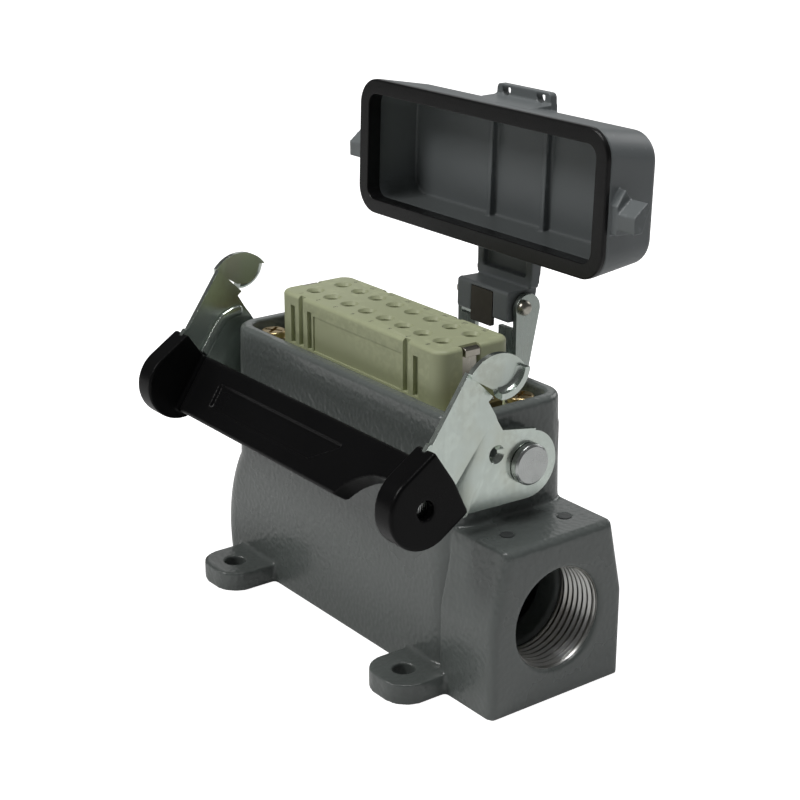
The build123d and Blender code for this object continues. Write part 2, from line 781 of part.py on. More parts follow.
# Hook lip: the sheet's edge bent outward along the lower back of the hook
lip_origin = (0, *at_pivot(hook_lip_centre))
lip_radial = (0, cos(radians(hook_lip_start)), sin(radians(hook_lip_start)))
lip_normal = (0, sin(radians(hook_lip_start)), -cos(radians(hook_lip_start)))
lip_root = hook_lip_radius - hook_lip_bend - lever_sheet / 2
disc_inner_x = hook_inner_x + hook_press
disc_outer_x = disc_inner_x + lever_sheet
lip_crest_x = disc_outer_x + hook_lip_reach
lip_inside = hook_lip_radius - lever_sheet
bend_middle = (hook_lip_radius - 0.3 * hook_lip_bend, disc_inner_x + 0.3 * hook_lip_bend)
bend_end_x = disc_inner_x + hook_lip_bend
fold_middle = (lip_inside - 0.2 * hook_lip_bend, disc_outer_x + 0.2 * hook_lip_bend)
fold_end_x = disc_outer_x + 0.5 * hook_lip_bend
with BuildPart() as hook_lip:
    with BuildSketch(Plane(origin=lip_origin, x_dir=lip_radial, z_dir=lip_normal)):
        with BuildLine():
            Line((lip_root, disc_outer_x), (lip_root, disc_inner_x))
            Line((lip_root, disc_inner_x), (hook_lip_radius - hook_lip_bend, disc_inner_x))
            ThreePointArc(
                (hook_lip_radius - hook_lip_bend, disc_inner_x), bend_middle, (hook_lip_radius, bend_end_x)
            )
            Polyline(
                (hook_lip_radius, bend_end_x),
                (hook_lip_radius, lip_crest_x),
                (lip_inside, lip_crest_x),
                (lip_inside, fold_end_x),
            )
            ThreePointArc((lip_inside, fold_end_x), fold_middle, (lip_root, disc_outer_x))
        make_face()
    revolve(axis=Axis(lip_origin, (1, 0, 0)), revolution_arc=hook_lip_sweep)

with BuildPart() as lever_plate:
    add(side_plate(0))
    add(hook_disc.part)
    add(hook_lip.part)
    with BuildSketch(Plane.YZ.offset(lever_inner_x - 1)):
        with Locations(at_pivot((0, 0))):
            Circle(pivot_shank_radius + running_gap)
        with Locations(at_pivot(dimple_centre)):
            Circle(dimple_core_radius)
        with Locations(at_pivot(grip_centre)):
            Circle(grip_pin_radius)
    extrude(amount=lever_joggle + lever_sheet + 2, mode=Mode.SUBTRACT)
    with BuildSketch(Plane.YZ.offset(lever_outer_x)):
        with Locations(at_pivot(dimple_centre)):
            Circle(dimple_radius)
    extrude(amount=-(dimple_radius - dimple_core_radius), taper=45, mode=Mode.SUBTRACT)
write(lever_plate.part, "lever_plate_right")
write(mirror(lever_plate.part, about=Plane.YZ), "lever_plate_left")

# Handle: a channel bar between two cheeks that take the plates in slots
bar_run = (bar_top[0] - bar_bottom[0], bar_top[1] - bar_bottom[1])
bar_height = hypot(*bar_run)
bar_normal = (0, -bar_run[1] / bar_height, bar_run[0] / bar_height)
bar_face = Plane(origin=(0, *at_pivot(bar_bottom)), x_dir=(1, 0, 0), z_dir=bar_normal)
bar_half_length = cheek_inner + bar_sink
pin_root_x = lever_inner_x - grip_pin_root
with BuildPart() as lever_handle:
    with BuildSketch(bar_face):
        with Locations((0, bar_height / 2)):
            Rectangle(2 * bar_half_length, bar_height)
    extrude(amount=-bar_depth)
    fillet(lever_handle.edges().filter_by(Axis.X), bar_edge_round)
    with BuildSketch(bar_face.offset(-bar_depth)):
        channel_end = finger_notch_x - sqrt(finger_notch_radius**2 - (finger_notch_radius - finger_notch_rise) ** 2)
        channel_start = bar_back_margin - cheek_inner
        channel_length = channel_end - bar_notch_margin - channel_start
        with Locations((channel_start + channel_length / 2, bar_height / 2)):
            RectangleRounded(channel_length, bar_height - 2 * bar_wall, bar_back_corner)
    extrude(amount=bar_depth - bar_wall, mode=Mode.SUBTRACT)
    with BuildSketch(bar_face):
        with BuildLine():
            Polyline(
                (label_left, label_bottom),
                (label_right_bottom, label_bottom),
                (label_right_top, label_top),
                (label_left, label_top),
                close=True,
            )
        make_face()
    extrude(amount=-label_depth, mode=Mode.SUBTRACT)
    with BuildSketch(bar_face):
        for side in (-1, 1):
            with Locations((side * (cheek_inner - bar_gutter_width / 2), bar_height / 2)):
                Rectangle(bar_gutter_width, 2 * bar_height)
    extrude(amount=-bar_gutter_depth, mode=Mode.SUBTRACT)
    with BuildSketch(bar_face.offset(bar_sink)):
        with Locations((finger_notch_x, finger_notch_rise - finger_notch_radius)):
            Circle(finger_notch_radius)
        with Locations(((finger_notch_x + bar_half_length) / 2, 0)):
            Rectangle(bar_half_length - finger_notch_x, 2 * finger_notch_rise)
    extrude(amount=-bar_depth - 2 * bar_sink, mode=Mode.SUBTRACT)
    for side in (-1, 1):
        with BuildSketch(Plane.YZ.offset(side * cheek_inner)):
            with Locations(at_pivot(grip_centre)):
                Circle(cheek_radius)
            with Locations(at_pivot(cheek_apex), at_pivot(cheek_heel)):
                Circle(cheek_point_radius)
            make_hull()
        extrude(amount=side * (cheek_face - cheek_inner))
    for side in (-1, 1):
        fillet(lever_handle.faces().sort_by(Axis.X)[-1 if side > 0 else 0].edges(), cheek_edge_round)
    add(side_plate(slide_gap), mode=Mode.SUBTRACT)
    add(mirror(side_plate(slide_gap), about=Plane.YZ, mode=Mode.PRIVATE), mode=Mode.SUBTRACT)
    for side in (-1, 1):
        with BuildSketch(Plane.YZ.offset(side * cheek_face)):
            with Locations(at_pivot(grip_centre)):
                Circle(grip_hole_radius)
        extrude(amount=-side * grip_hole_depth, mode=Mode.SUBTRACT)
        with BuildSketch(Plane.YZ.offset(side * cheek_face)):
            with Locations(at_pivot(grip_centre)):
                Circle(grip_pin_radius)
        extrude(amount=-side * (cheek_face - pin_root_x), mode=Mode.SUBTRACT)
write(lever_handle.part, "lever_handle")

with BuildPart() as handle_pins:
    for side in (-1, 1):
        with BuildSketch(Plane.YZ.offset(side * pin_root_x)):
            with Locations(at_pivot(grip_centre)):
                Circle(grip_pin_radius)
        extrude(amount=side * (cheek_face - grip_hole_depth - pin_root_x))
write(handle_pins.part, "handle_pins")

# Hinge arm of the cover: ribbed tongue that narrows to the knuckle between the bracket's ears
arm_root_y = cover_crown_shift + crown_width / 2 - cover_wall / 2
knuckle_bottom = hinge_z - knuckle_radius
knuckle_back_y = hinge_y + knuckle_radius
with BuildPart() as hinge_arm:
    with BuildSketch(Plane.YZ.offset(-arm_root_half_width)):
        with BuildLine():
            Polyline(
                (arm_root_y, arm_underside),
                (arm_root_y, arm_topside),
                (hinge_y - knuckle_radius, hinge_z + knuckle_block_rise + 0.1 * knuckle_radius),
                (hinge_y + knuckle_block_back, hinge_z + knuckle_block_rise),
                (knuckle_back_y, hinge_z + knuckle_radius / 2),
                (knuckle_back_y, knuckle_bottom),
                (hinge_y - knuckle_radius, knuckle_bottom),
                (hinge_y - knuckle_radius, arm_underside),
                close=True,
            )
        make_face()
    extrude(amount=2 * arm_root_half_width)
    with BuildSketch(Plane.XY.offset(knuckle_bottom)):
        with BuildLine():
            Polyline(
                (-arm_root_half_width, arm_root_y),
                (arm_root_half_width, arm_root_y),
                (arm_tip_half_width, ear_front_y),
                (knuckle_half_width, ear_front_y),
                (knuckle_half_width, knuckle_back_y),
                (-knuckle_half_width, knuckle_back_y),
                (-knuckle_half_width, ear_front_y),
                (-arm_tip_half_width, ear_front_y),
                close=True,
            )
        make_face()
    extrude(amount=cover_top - knuckle_bottom, mode=Mode.INTERSECT)
    with BuildSketch(Plane.XY.offset(arm_underside)):
        with Locations((0, (arm_root_y + ear_front_y) / 2)):
            Rectangle(2 * (arm_tip_half_width - arm_rib_width), ear_front_y - arm_root_y - 2 * arm_rib_width)
    extrude(amount=arm_recess_depth, mode=Mode.SUBTRACT)
    block_corners = hinge_arm.edges().filter_by(Axis.X).group_by(Axis.Z)[0]
    fillet(block_corners, knuckle_corner)
    with BuildSketch(Plane.XY.offset(knuckle_bottom)):
        with Locations((0, hinge_y + (knuckle_radius - spring_front) / 2)):
            Rectangle(2 * (spring_half_width + slide_gap), knuckle_radius + spring_front)
    extrude(amount=spring_thickness, mode=Mode.SUBTRACT)
    with BuildSketch(Plane.YZ.offset(-arm_root_half_width)):
        with Locations((hinge_y, hinge_z)):
            Circle(hinge_pin_radius + running_gap)
    extrude(amount=2 * arm_root_half_width, mode=Mode.SUBTRACT)

# Cover, built shut on the collar: sloping shell, ribs, pegs, lanyard tab and the hinge arm
with BuildPart() as cover_shell:
    with BuildSketch(Plane.XY.offset(cover_rim)):
        RectangleRounded(cover_length, cover_width, cover_corner)
    with BuildSketch(Plane.XY.offset(cover_top)):
        with Locations((0, cover_crown_shift)):
            RectangleRounded(crown_length, crown_width, cover_corner)
    loft(ruled=True)
    fillet(cover_shell.faces().sort_by(Axis.Z)[-1].edges(), cover_crown_round)
    add(hinge_arm.part)
    with BuildSketch(Plane.XY.offset(tab_height)) as tab:
        with BuildLine():
            Polyline(
                (-tab_root_half_length, tab_tip_y + tab_reach + cover_wall / 2),
                (tab_root_half_length, tab_tip_y + tab_reach + cover_wall / 2),
                (tab_tip_half_length, tab_tip_y),
                (-tab_tip_half_length, tab_tip_y),
                close=True,
            )
        make_face()
        fillet(tab.vertices().group_by(Axis.Y)[0], tab_corner)
        with Locations((-tab_hole_x, tab_tip_y + tab_hole_inset), (tab_hole_x, tab_tip_y + tab_hole_inset)):
            Circle(tab_hole_radius, mode=Mode.SUBTRACT)
    extrude(amount=tab_thickness)

    # Ramp of the tab on the side wall
    ramp_bottom = tab_height - tab_ramp_height
    ramp_inner_y = tab_tip_y + tab_reach + cover_wall / 2
    ramp_lean = (cover_width - crown_width) / 2 + cover_crown_shift
    ramp_foot_y = -cover_width / 2 + ramp_lean * (ramp_bottom - cover_rim) / cover_height
    with BuildSketch(Plane.YZ.offset(-tab_root_half_length)):
        with BuildLine():
            Polyline(
                (ramp_inner_y, ramp_bottom),
                (ramp_foot_y, ramp_bottom),
                (tab_tip_y + tab_reach - tab_ramp_reach, tab_height),
                (ramp_inner_y, tab_height),
                close=True,
            )
        make_face()
    extrude(amount=2 * tab_root_half_length)

    # Pegs on the ends: a broad wedge next to the wall, a narrower one that the hook bears on
    peg_start_x = crown_length / 2 - cover_wall / 2
    peg_root_x = half_length + peg_root_reach
    for side in (-1, 1):
        with BuildSketch(Plane.YZ.offset(side * peg_start_x)):
            with BuildLine():
                Polyline(*[(y, cover_rim + rise) for y, rise in peg_root_outline], close=True)
            make_face()
        extrude(amount=side * (peg_root_x - peg_start_x))
        with BuildSketch(Plane.YZ.offset(side * peg_start_x)):
            with BuildLine():
                Polyline(*[(y, cover_rim + rise) for y, rise in peg_outline], close=True)
            make_face()
        extrude(amount=side * (half_length + peg_reach - peg_start_x))

    # Inside of the shell, with two ribs across its crown
    with BuildSketch(Plane.XY.offset(cover_rim)):
        RectangleRounded(cover_length - 2 * cover_wall, cover_width - 2 * cover_wall, cover_corner - cover_wall)
    with BuildSketch(Plane.XY.offset(cover_top - cover_crown_wall)):
        with Locations((0, cover_crown_shift)):
            RectangleRounded(
                crown_length - 2 * cover_wall, crown_width - 2 * cover_wall, cover_corner - cover_wall
            )
    loft(ruled=True, mode=Mode.SUBTRACT)
    with BuildSketch(Plane.XY.offset(cover_top - cover_crown_wall)):
        with Locations((-cover_rib_x, cover_crown_shift), (cover_rib_x, cover_crown_shift)):
            Rectangle(cover_rib_thickness, crown_width - cover_wall)
    extrude(amount=-cover_rib_height)
write(cover_shell.part.rotate(hinge_axis, -cover_open_deg), "cover_shell")

# Stop spring: a leaf let into the knuckle's face, passing between the bracket's flanges
with BuildPart() as stop_spring:
    with BuildSketch(Plane.XY.offset(knuckle_bottom)):
        with Locations((0, hinge_y + (spring_back - spring_front) / 2 + slide_gap)):
            RectangleRounded(2 * spring_half_width, spring_back + spring_front, spring_corner)
    extrude(amount=spring_thickness)
write(stop_spring.part.rotate(hinge_axis, -cover_open_deg), "stop_spring")

# Gasket: a flat band on the shell's rim with a lip inside its wall
lip_inset = cover_wall + slide_gap
with BuildPart() as cover_gasket:
    with BuildSketch(Plane.XY.offset(gasket_bottom)):
        RectangleRounded(cover_length, cover_width, cover_corner)
    extrude(amount=gasket_thickness)
    fillet(cover_gasket.faces().sort_by(Axis.Z)[0].edges(), gasket_thickness / 3)
    with BuildSketch(Plane.XY.offset(cover_rim)):
        RectangleRounded(cover_length - 2 * lip_inset, cover_width - 2 * lip_inset, cover_corner - lip_inset)
    extrude(amount=gasket_lip_height, taper=gasket_lip_draft)
    with BuildSketch(Plane.XY.offset(gasket_bottom)):
        RectangleRounded(
            cover_length - 2 * gasket_width,
            cover_width - 2 * gasket_width,
            cover_corner - gasket_width,
        )
    extrude(amount=gasket_thickness + gasket_lip_height, mode=Mode.SUBTRACT)
write(cover_gasket.part.rotate(hinge_axis, -cover_open_deg), "cover_gasket")

# Hinge bracket: foot plate on the housing's pad, two ears, a short flange on each ear's front edge
pad_back_y = pad_face_y + bracket_sheet
with BuildPart() as hinge_bracket:
    with BuildSketch(Plane.XZ.offset(-pad_back_y)):
        with Locations((0, (bracket_foot_bottom + bracket_foot_top) / 2)):
            Rectangle(2 * bracket_half_width, bracket_foot_top - bracket_foot_bottom)
        with Locations(*rivet_spots):
            Circle(rivet_radius, mode=Mode.SUBTRACT)
    extrude(amount=bracket_sheet)
    for side in (-1, 1):
        with BuildSketch(Plane.YZ.offset(side * ear_inner_x)):
            with BuildLine():
                Polyline(
                    (pad_face_y, bracket_foot_bottom),
                    (pad_face_y, bracket_foot_top - bracket_sheet),
                    (bracket_flange_y, bracket_flange_bottom + bracket_sheet),
                    (bracket_flange_y, ear_centre[1]),
                    (ear_centre[0], ear_centre[1]),
                    (ear_centre[0] + 0.99 * ear_round, ear_centre[1] - 0.14 * ear_round),
                    (hinge_y + ear_back_knee[0], hinge_z + ear_back_knee[1]),
                    (pad_back_y + ear_foot_depth, bracket_foot_bottom),
                    close=True,
                )
            make_face()
            with Locations(ear_centre):
                Circle(ear_round)
            with Locations((hinge_y, hinge_z)):
                Circle(hinge_pin_radius, mode=Mode.SUBTRACT)
        extrude(amount=side * bracket_sheet)
        with BuildSketch(Plane.XZ.offset(-bracket_flange_y)):
            flange_x = side * (bracket_flange_inner_x + bracket_half_width) / 2
            with Locations((flange_x, (bracket_flange_top + bracket_flange_bottom) / 2)):
                Rectangle(
                    bracket_half_width - bracket_flange_inner_x,
                    bracket_flange_top - bracket_flange_bottom,
                )
        extrude(amount=-bracket_sheet)
write(hinge_bracket.part, "hinge_bracket")

# Rivets that hold the bracket on the pad, with low rounded heads
rivet_tip_y = half_width - collar_wall + rivet_end
with BuildPart() as bracket_rivets:
    with BuildSketch(Plane.XZ.offset(-pad_back_y)):
        with Locations(*rivet_spots):
            Circle(rivet_head_radius)
    extrude(amount=-rivet_head_height)
    head_rims = bracket_rivets.edges().filter_by(GeomType.CIRCLE).group_by(Axis.Y)[-1]
    fillet(head_rims, 0.7 * rivet_head_height)
    with BuildSketch(Plane.XZ.offset(-rivet_tip_y)):
        with Locations(*rivet_spots):
            Circle(rivet_radius)
    extrude(amount=rivet_tip_y - pad_back_y)
write(bracket_rivets.part, "bracket_rivets")

# Hinge pin with a rounded head on each ear
with BuildPart() as hinge_pin:
    with BuildSketch(Plane.YZ.offset(-bracket_half_width)):
        with Locations((hinge_y, hinge_z)):
            Circle(hinge_pin_radius)
    extrude(amount=2 * bracket_half_width)
    for side in (-1, 1):
        with BuildSketch(Plane.YZ.offset(side * bracket_half_width)):
            with Locations((hinge_y, hinge_z)):
                Circle(hinge_dome_radius)
        extrude(amount=side * hinge_dome_height)
        end_rim = hinge_pin.edges().filter_by(GeomType.CIRCLE).sort_by(Axis.X)[-1 if side > 0 else 0]
        fillet(end_rim, 0.8 * hinge_dome_height)
write(hinge_pin.part, "hinge_pin")
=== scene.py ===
"""Rectangular multipole connector with locking lever and hinged cover, dressed round the loaded frame."""

import json
from math import cos, pi, radians, sin

import bmesh
import bpy
import numpy as np
from bpy.props import FloatProperty, FloatVectorProperty, IntProperty, PointerProperty
from mathutils import Matrix, Vector


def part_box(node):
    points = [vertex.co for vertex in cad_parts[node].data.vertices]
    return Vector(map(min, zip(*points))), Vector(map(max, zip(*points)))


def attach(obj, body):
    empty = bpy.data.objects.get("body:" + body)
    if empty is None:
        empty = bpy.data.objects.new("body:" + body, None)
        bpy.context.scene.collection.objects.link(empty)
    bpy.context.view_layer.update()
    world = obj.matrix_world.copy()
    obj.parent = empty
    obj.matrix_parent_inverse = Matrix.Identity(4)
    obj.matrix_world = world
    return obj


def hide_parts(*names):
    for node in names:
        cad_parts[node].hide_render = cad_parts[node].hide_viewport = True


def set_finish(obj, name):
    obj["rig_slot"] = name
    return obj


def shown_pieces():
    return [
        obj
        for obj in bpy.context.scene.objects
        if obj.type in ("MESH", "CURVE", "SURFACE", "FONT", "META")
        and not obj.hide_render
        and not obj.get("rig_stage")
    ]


bl_info = {
    "name": "Rectangular connector dresser",
    "version": (1, 0, 0),
    "blender": (4, 5, 0),
    "location": "View3D > Sidebar > Connector",
    "description": "Finishes, thread, contacts and studio for a rectangular multipole connector",
    "category": "Object",
}

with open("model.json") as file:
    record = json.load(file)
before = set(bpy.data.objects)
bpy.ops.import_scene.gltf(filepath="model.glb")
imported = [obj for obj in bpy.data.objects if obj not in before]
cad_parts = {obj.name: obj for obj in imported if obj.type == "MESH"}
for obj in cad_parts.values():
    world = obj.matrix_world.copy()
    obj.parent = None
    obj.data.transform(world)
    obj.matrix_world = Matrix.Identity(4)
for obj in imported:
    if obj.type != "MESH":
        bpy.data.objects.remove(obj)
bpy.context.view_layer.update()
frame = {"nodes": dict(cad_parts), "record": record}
RECORD = frame["record"]
BODY_OF = {node: body for body, nodes in RECORD["behaviour"]["bodies"].items() for node in nodes}
SLOT_OF = {part["node"]: part["material_slot"] for part in RECORD["subparts"]}

MM = 0.001
MERGE_DISTANCE = 0.004 * MM
FLAT_ANGLE = radians(0.6)
SHARP_ANGLE = radians(28)

# Width of each node's rounded edges, as a share of the edge round
ROUNDED = {
    "insert_body": 0.4,
    "lever_plate_right": 0.5,
    "lever_plate_left": 0.5,
    "cover_gasket": 0.6,
    "hinge_bracket": 0.5,
    "pivot_stud_right": 0.4,
    "pivot_stud_left": 0.4,
    "insert_screws": 0.2,
    "screw_washers": 0.3,
    "earth_clip_right": 0.3,
    "earth_clip_left": 0.3,
    "earth_terminals": 0.4,
    "earth_screws": 0.3,
    "bracket_rivets": 0.4,
    "hinge_pin": 0.3,
    "handle_pins": 0.4,
}
# Voxel size, smoothing passes and most triangles of each node with a soft skin
SOFTENED = {
    "housing": (0.36 * MM, 8, 199000),
    "lever_handle": (0.26 * MM, 5, 120000),
    "cover_shell": (0.24 * MM, 2, 198000),
}
# The bracket keeps the slot of the lever's plates, and its zinc is a darker copy of theirs, as painted shade
OWN_FINISH = {"hinge_bracket_finished": "bracket_zinc"}
BRACKET_PAINTED_SHADE = 0.62

# Pointiness over which an edge begins; a flat face has one half
EDGE_START = 0.52
# How much lighter the edges get: partly wear, partly a painted edge highlight
WORN_AND_LIT_TINT = 1.9
PLATED_EDGE_LIT_TINT = 1.25
DUST_COLOUR = (0.45, 0.45, 0.43, 1.0)
INK_DARK = (0.05, 0.05, 0.04, 1.0)
INK_PALE = (0.14, 0.14, 0.11, 1.0)
# Bump heights; the coat's is a share of its grain
GRAIN_HEIGHT = 0.16
STREAK_HEIGHT = 0.05 * MM
RING_HEIGHT = 0.03 * MM
INK_HEIGHT = 0.02 * MM
RING_PITCH = 0.45 * MM

THREAD_AROUND = 144
THREAD_ALONG = 190
THREAD_SETBACK = 0.45 * MM
THREAD_ROOT = 0.02 * MM
THREAD_SEAT = 0.03 * MM
THREAD_FLANK = 1.6
THREAD_VALLEY = 0.3

CONTACT_COLUMNS = 8
CONTACT_PITCH = 6.4 * MM
SLEEVE_RADIUS = 1.4 * MM
SPRING_AROUND = 48
SPRING_SLOT_WIDTH = 0.22
SPRING_SLOT_DEPTH = 2.2 * MM
# Radius and rise over the sleeve in millimetres, and whether the slots cut this ring
SPRING_WALL = (
    (1.36, -3.0, 0),
    (1.36, 0.3, 1),
    (1.28, 0.55, 1),
    (1.05, 0.6, 1),
    (0.92, 0.4, 1),
    (0.96, -3.0, 0),
)

NUMBER_Y = 7.3 * MM
NUMBER_RAISE = 0.012 * MM
# The two round marks are dark discs, painted as the shade inside the entry block's two dimples
MARK_AROUND = 40
MARK_SETBACK = 7.7 * MM
MARK_Y = 7.4 * MM
MARK_PROBE_Y = 2.2 * MM
MARK_PROBE_Z = 90 * MM
MARK_RADIUS = 1.4 * MM
MARK_RINGS = (
    (MARK_RADIUS, -0.6 * MM),
    (MARK_RADIUS, -0.02 * MM),
    (0.82 * MARK_RADIUS, 0.01 * MM),
)

BEAD_AROUND = 28
BEAD_TIP = 0.05
# The fold in the y and z of the lever's plates, in millimetres
FOLD_PATH = ((-20.4, 49.2), (-18.2, 52.4), (-16.4, 55.0), (-14.4, 57.2), (-12.0, 58.1), (-9.4, 58.4))
FOLD_POINTS = 90
FOLD_PASSES = 12
FOLD_INSET = 0.45 * MM
FOLD_REACH = 1.15 * MM
FOLD_RISE = 0.85 * MM
RIM_POINTS = 60
RIM_INSET = 0.2 * MM
RIM_DROP = 0.36 * MM
RIM_REACH = 0.9 * MM
RIM_RISE = 0.34 * MM
TAB_HALF = 12 * MM
TAB_TIP_BAND = 0.15 * MM

SENSOR_WIDTH = 36.0
CAMERA_NEAR = 10 * MM
FLOOR_REACH = 6.0
FLOOR_GLOW = 0.95
SURROUND_GLOW = 0.92
LIGHT_AIM = Vector((0.0, 0.0, 0.05))
# Name, place, side length, share of the key power and colour of each area light
LIGHTS = (
    ("key", (-0.26, -0.74, 0.76), 0.32, 1.0, (1.0, 0.99, 0.97)),
    ("above", (0.13, -0.03, 1.02), 0.34, 1.18, (1.0, 1.0, 1.0)),
    ("behind", (-0.80, 0.66, 0.50), 0.60, 0.14, (1.0, 1.0, 1.0)),
    ("back_fill", (-0.10, 1.00, 0.50), 0.55, 0.40, (1.0, 1.0, 1.0)),
)


# Sizes and colours that a user would change


def colour_property(name, description, default):
    """A colour with its name, description and default"""
    return FloatVectorProperty(
        name=name, description=description, default=default, size=3, min=0.0, max=1.0, subtype="COLOR"
    )


def length_property(name, description, default):
    """A length in metres with its name, description and default"""
    return FloatProperty(
        name=name, description=description, default=default, min=0.0, subtype="DISTANCE", unit="LENGTH"
    )


def angle_property(name, description, default):
    """An angle in radians with its name, description and default"""
    return FloatProperty(
        name=name, description=description, default=default, subtype="ANGLE", unit="ROTATION"
    )


class ConnectorFinishes(bpy.types.PropertyGroup):
    """Colours of the connector's finishes"""

    casting: colour_property("Casting", "Powder coat of the die-cast housing", (0.115, 0.129, 0.124))
    insert: colour_property("Insert", "Moulded plastic of the contact insert", (0.39, 0.418, 0.258))
    zinc: colour_property("Zinc sheet", "Zinc plating of plates and bracket", (0.66, 0.73, 0.68))
    handle: colour_property("Handle", "Black plastic of the lever's handle", (0.0040, 0.0040, 0.0043))
    cover: colour_property("Cover", "Grey plastic of the hinged cover", (0.150, 0.165, 0.170))
    rubber: colour_property("Gasket", "Black rubber of the cover's gasket", (0.0040, 0.0040, 0.0043))
    brass: colour_property("Brass", "Yellow passivation of the small screws", (0.46, 0.36, 0.19))
    nickel: colour_property("Nickel", "Nickel plating of clips and washers", (0.50, 0.48, 0.42))
    steel: colour_property("Steel", "Turned steel of the studs and pins", (0.56, 0.58, 0.57))
    silver: colour_property("Contacts", "Silver plating of the contacts", (0.42, 0.39, 0.31))
    thread: colour_property("Thread", "Bare cut metal of the thread", (0.60, 0.60, 0.58))
    # Painted shade of the two dimples on the entry block, drawn as dark discs
    mark: colour_property("Marks", "Dark coat of the two round marks", (0.055, 0.060, 0.060))
    spring: colour_property("Leaf", "Blued steel of the knuckle's leaf", (0.050, 0.044, 0.036))
    grain: length_property("Coat grain", "Distance between the bumps of the powder coat", 1.05 * MM)


class ConnectorDetails(bpy.types.PropertyGroup):
    """Sizes of the pieces that are added to the frame"""

    thread_pitch: length_property("Thread pitch", "Pitch of the cable entry's thread", 1.41 * MM)
    thread_height: length_property("Thread height", "Height of the thread's ridge", 0.5 * MM)
    thread_length: length_property("Thread length", "Length of the threaded part of the bore", 11.0 * MM)
    spring_slots: IntProperty(
        name="Spring slots", description="Slots in each contact's mouth", default=4, min=2
    )
    number_height: length_property("Number height", "Height of the contact numbers", 1.5 * MM)
    edge_round: length_property("Edge round", "Rounding of the cast and moulded edges", 0.35 * MM)


class ConnectorStudio(bpy.types.PropertyGroup):
    """Camera, floor and light"""

    azimuth: angle_property("Azimuth", "Camera's turn round the object", radians(53.1))
    elevation: angle_property("Elevation", "Camera's height angle", radians(19.77))
    place: FloatVectorProperty(
        name="Place",
        description="Camera's place",
        default=(0.2815, -0.2088, 0.1728),
        size=3,
        subtype="TRANSLATION",
        unit="LENGTH",
    )
    lens: FloatProperty(
        name="Lens", description="Focal length on a 36 mm sensor, in millimetres", default=78.48
    )
    key_power: FloatProperty(
        name="Key light",
        description="Power of the large soft light",
        default=3.95,
        min=0.0,
        subtype="POWER",
        unit="POWER",
    )
    world_level: FloatProperty(
        name="Surround", description="Brightness of the surroundings", default=0.08, min=0.0
    )
    floor: colour_property("Floor", "Colour of the floor", (0.82, 0.82, 0.82))


# Mesh helpers


def linked_object(name, data):
    """A new object with this data, linked to the scene at the origin"""
    holder = bpy.data.objects.new(name, data)
    bpy.context.scene.collection.objects.link(holder)
    return holder


def shade_smooth(mesh, smooth=True):
    """Shade all faces of a mesh smooth or flat"""
    mesh.polygons.foreach_set("use_smooth", [smooth] * len(mesh.polygons))


def mesh_points(mesh):
    """A mesh's points as an array of rows of x, y and z"""
    points = np.empty(3 * len(mesh.vertices))
    mesh.vertices.foreach_get("co", points)
    return points.reshape(-1, 3)


def mesh_object(name, points, faces, body, slot, material, smooth=True):
    """One closed mesh piece from arrays of points in metres and faces, riding on a body"""
    mesh = bpy.data.meshes.new(name)
    mesh.from_pydata(points.tolist(), [], [list(face) for face in faces])
    mesh.validate()
    shade_smooth(mesh, smooth)
    mesh.update()
    piece = linked_object(name, mesh)
    piece.data.materials.append(material)
    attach(piece, body)
    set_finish(piece, slot)
    return piece


def loop_grid_faces(rows, columns, close_rows=False):
    """Quads of a grid of rows by columns whose columns close on themselves, as index tuples"""
    row = np.arange(rows if close_rows else rows - 1)[:, None]
    column = np.arange(columns)[None, :]
    next_row = (row + 1) % rows
    next_column = (column + 1) % columns
    corners = (
        row * columns + column,
        row * columns + next_column,
        next_row * columns + next_column,
        next_row * columns + column,
    )
    return np.stack([c + 0 * (row + column) for c in corners], axis=-1).reshape(-1, 4)


def capped_faces(rows, columns):
    """Quads of a grid whose columns close on themselves, with a cap on its first and its last row"""
    first = list(range(columns))[::-1]
    last = list(range((rows - 1) * columns, rows * columns))
    return loop_grid_faces(rows, columns).tolist() + [first, last]


def turn_outward(piece):
    """Recalculate a closed piece's normals so that its faces point outward"""
    work = bmesh.new()
    work.from_mesh(piece.data)
    bmesh.ops.recalc_face_normals(work, faces=work.faces)
    work.to_mesh(piece.data)
    work.free()


def bead(name, path, side, reach, rise, body, slot):
    """A closed bead along a path of points: every ring is a rounded rectangle, a superellipse of the
    fourth power between the direction across the path and a fixed side direction, and the rings shrink
    at both ends as a quarter circle does"""
    side = np.asarray(side, dtype=float)
    along = np.gradient(path, axis=0)
    along /= np.linalg.norm(along, axis=1)[:, None]
    across = np.cross(along, side)
    turn = np.linspace(0, 2 * pi, BEAD_AROUND, endpoint=False)
    wide = np.sign(np.cos(turn)) * np.sqrt(np.abs(np.cos(turn)))
    high = np.sign(np.sin(turn)) * np.sqrt(np.abs(np.sin(turn)))
    travelled = np.concatenate([[0.0], np.cumsum(np.linalg.norm(np.diff(path, axis=0), axis=1))])
    to_end = np.clip(np.minimum(travelled, travelled[-1] - travelled) / reach, 0, 1)
    shrink = np.maximum(BEAD_TIP, np.sqrt(1 - (1 - to_end) ** 2))[:, None, None]
    ring = reach * wide[None, :, None] * across[:, None, :] + rise * high[None, :, None] * side
    points = (path[:, None, :] + shrink * ring).reshape(-1, 3)
    faces = capped_faces(len(path), BEAD_AROUND)
    piece = mesh_object(name, points, faces, body, slot, finish(slot))
    turn_outward(piece)
    return piece


def stand_in(node, mesh):
    """The object that takes a CAD node's place, on the node's body and with its slot"""
    mesh.name = f"{node}_finished"
    shade_smooth(mesh)
    piece = linked_object(f"{node}_finished", mesh)
    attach(piece, BODY_OF[node])
    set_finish(piece, SLOT_OF[node])
    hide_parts(node)
    return piece


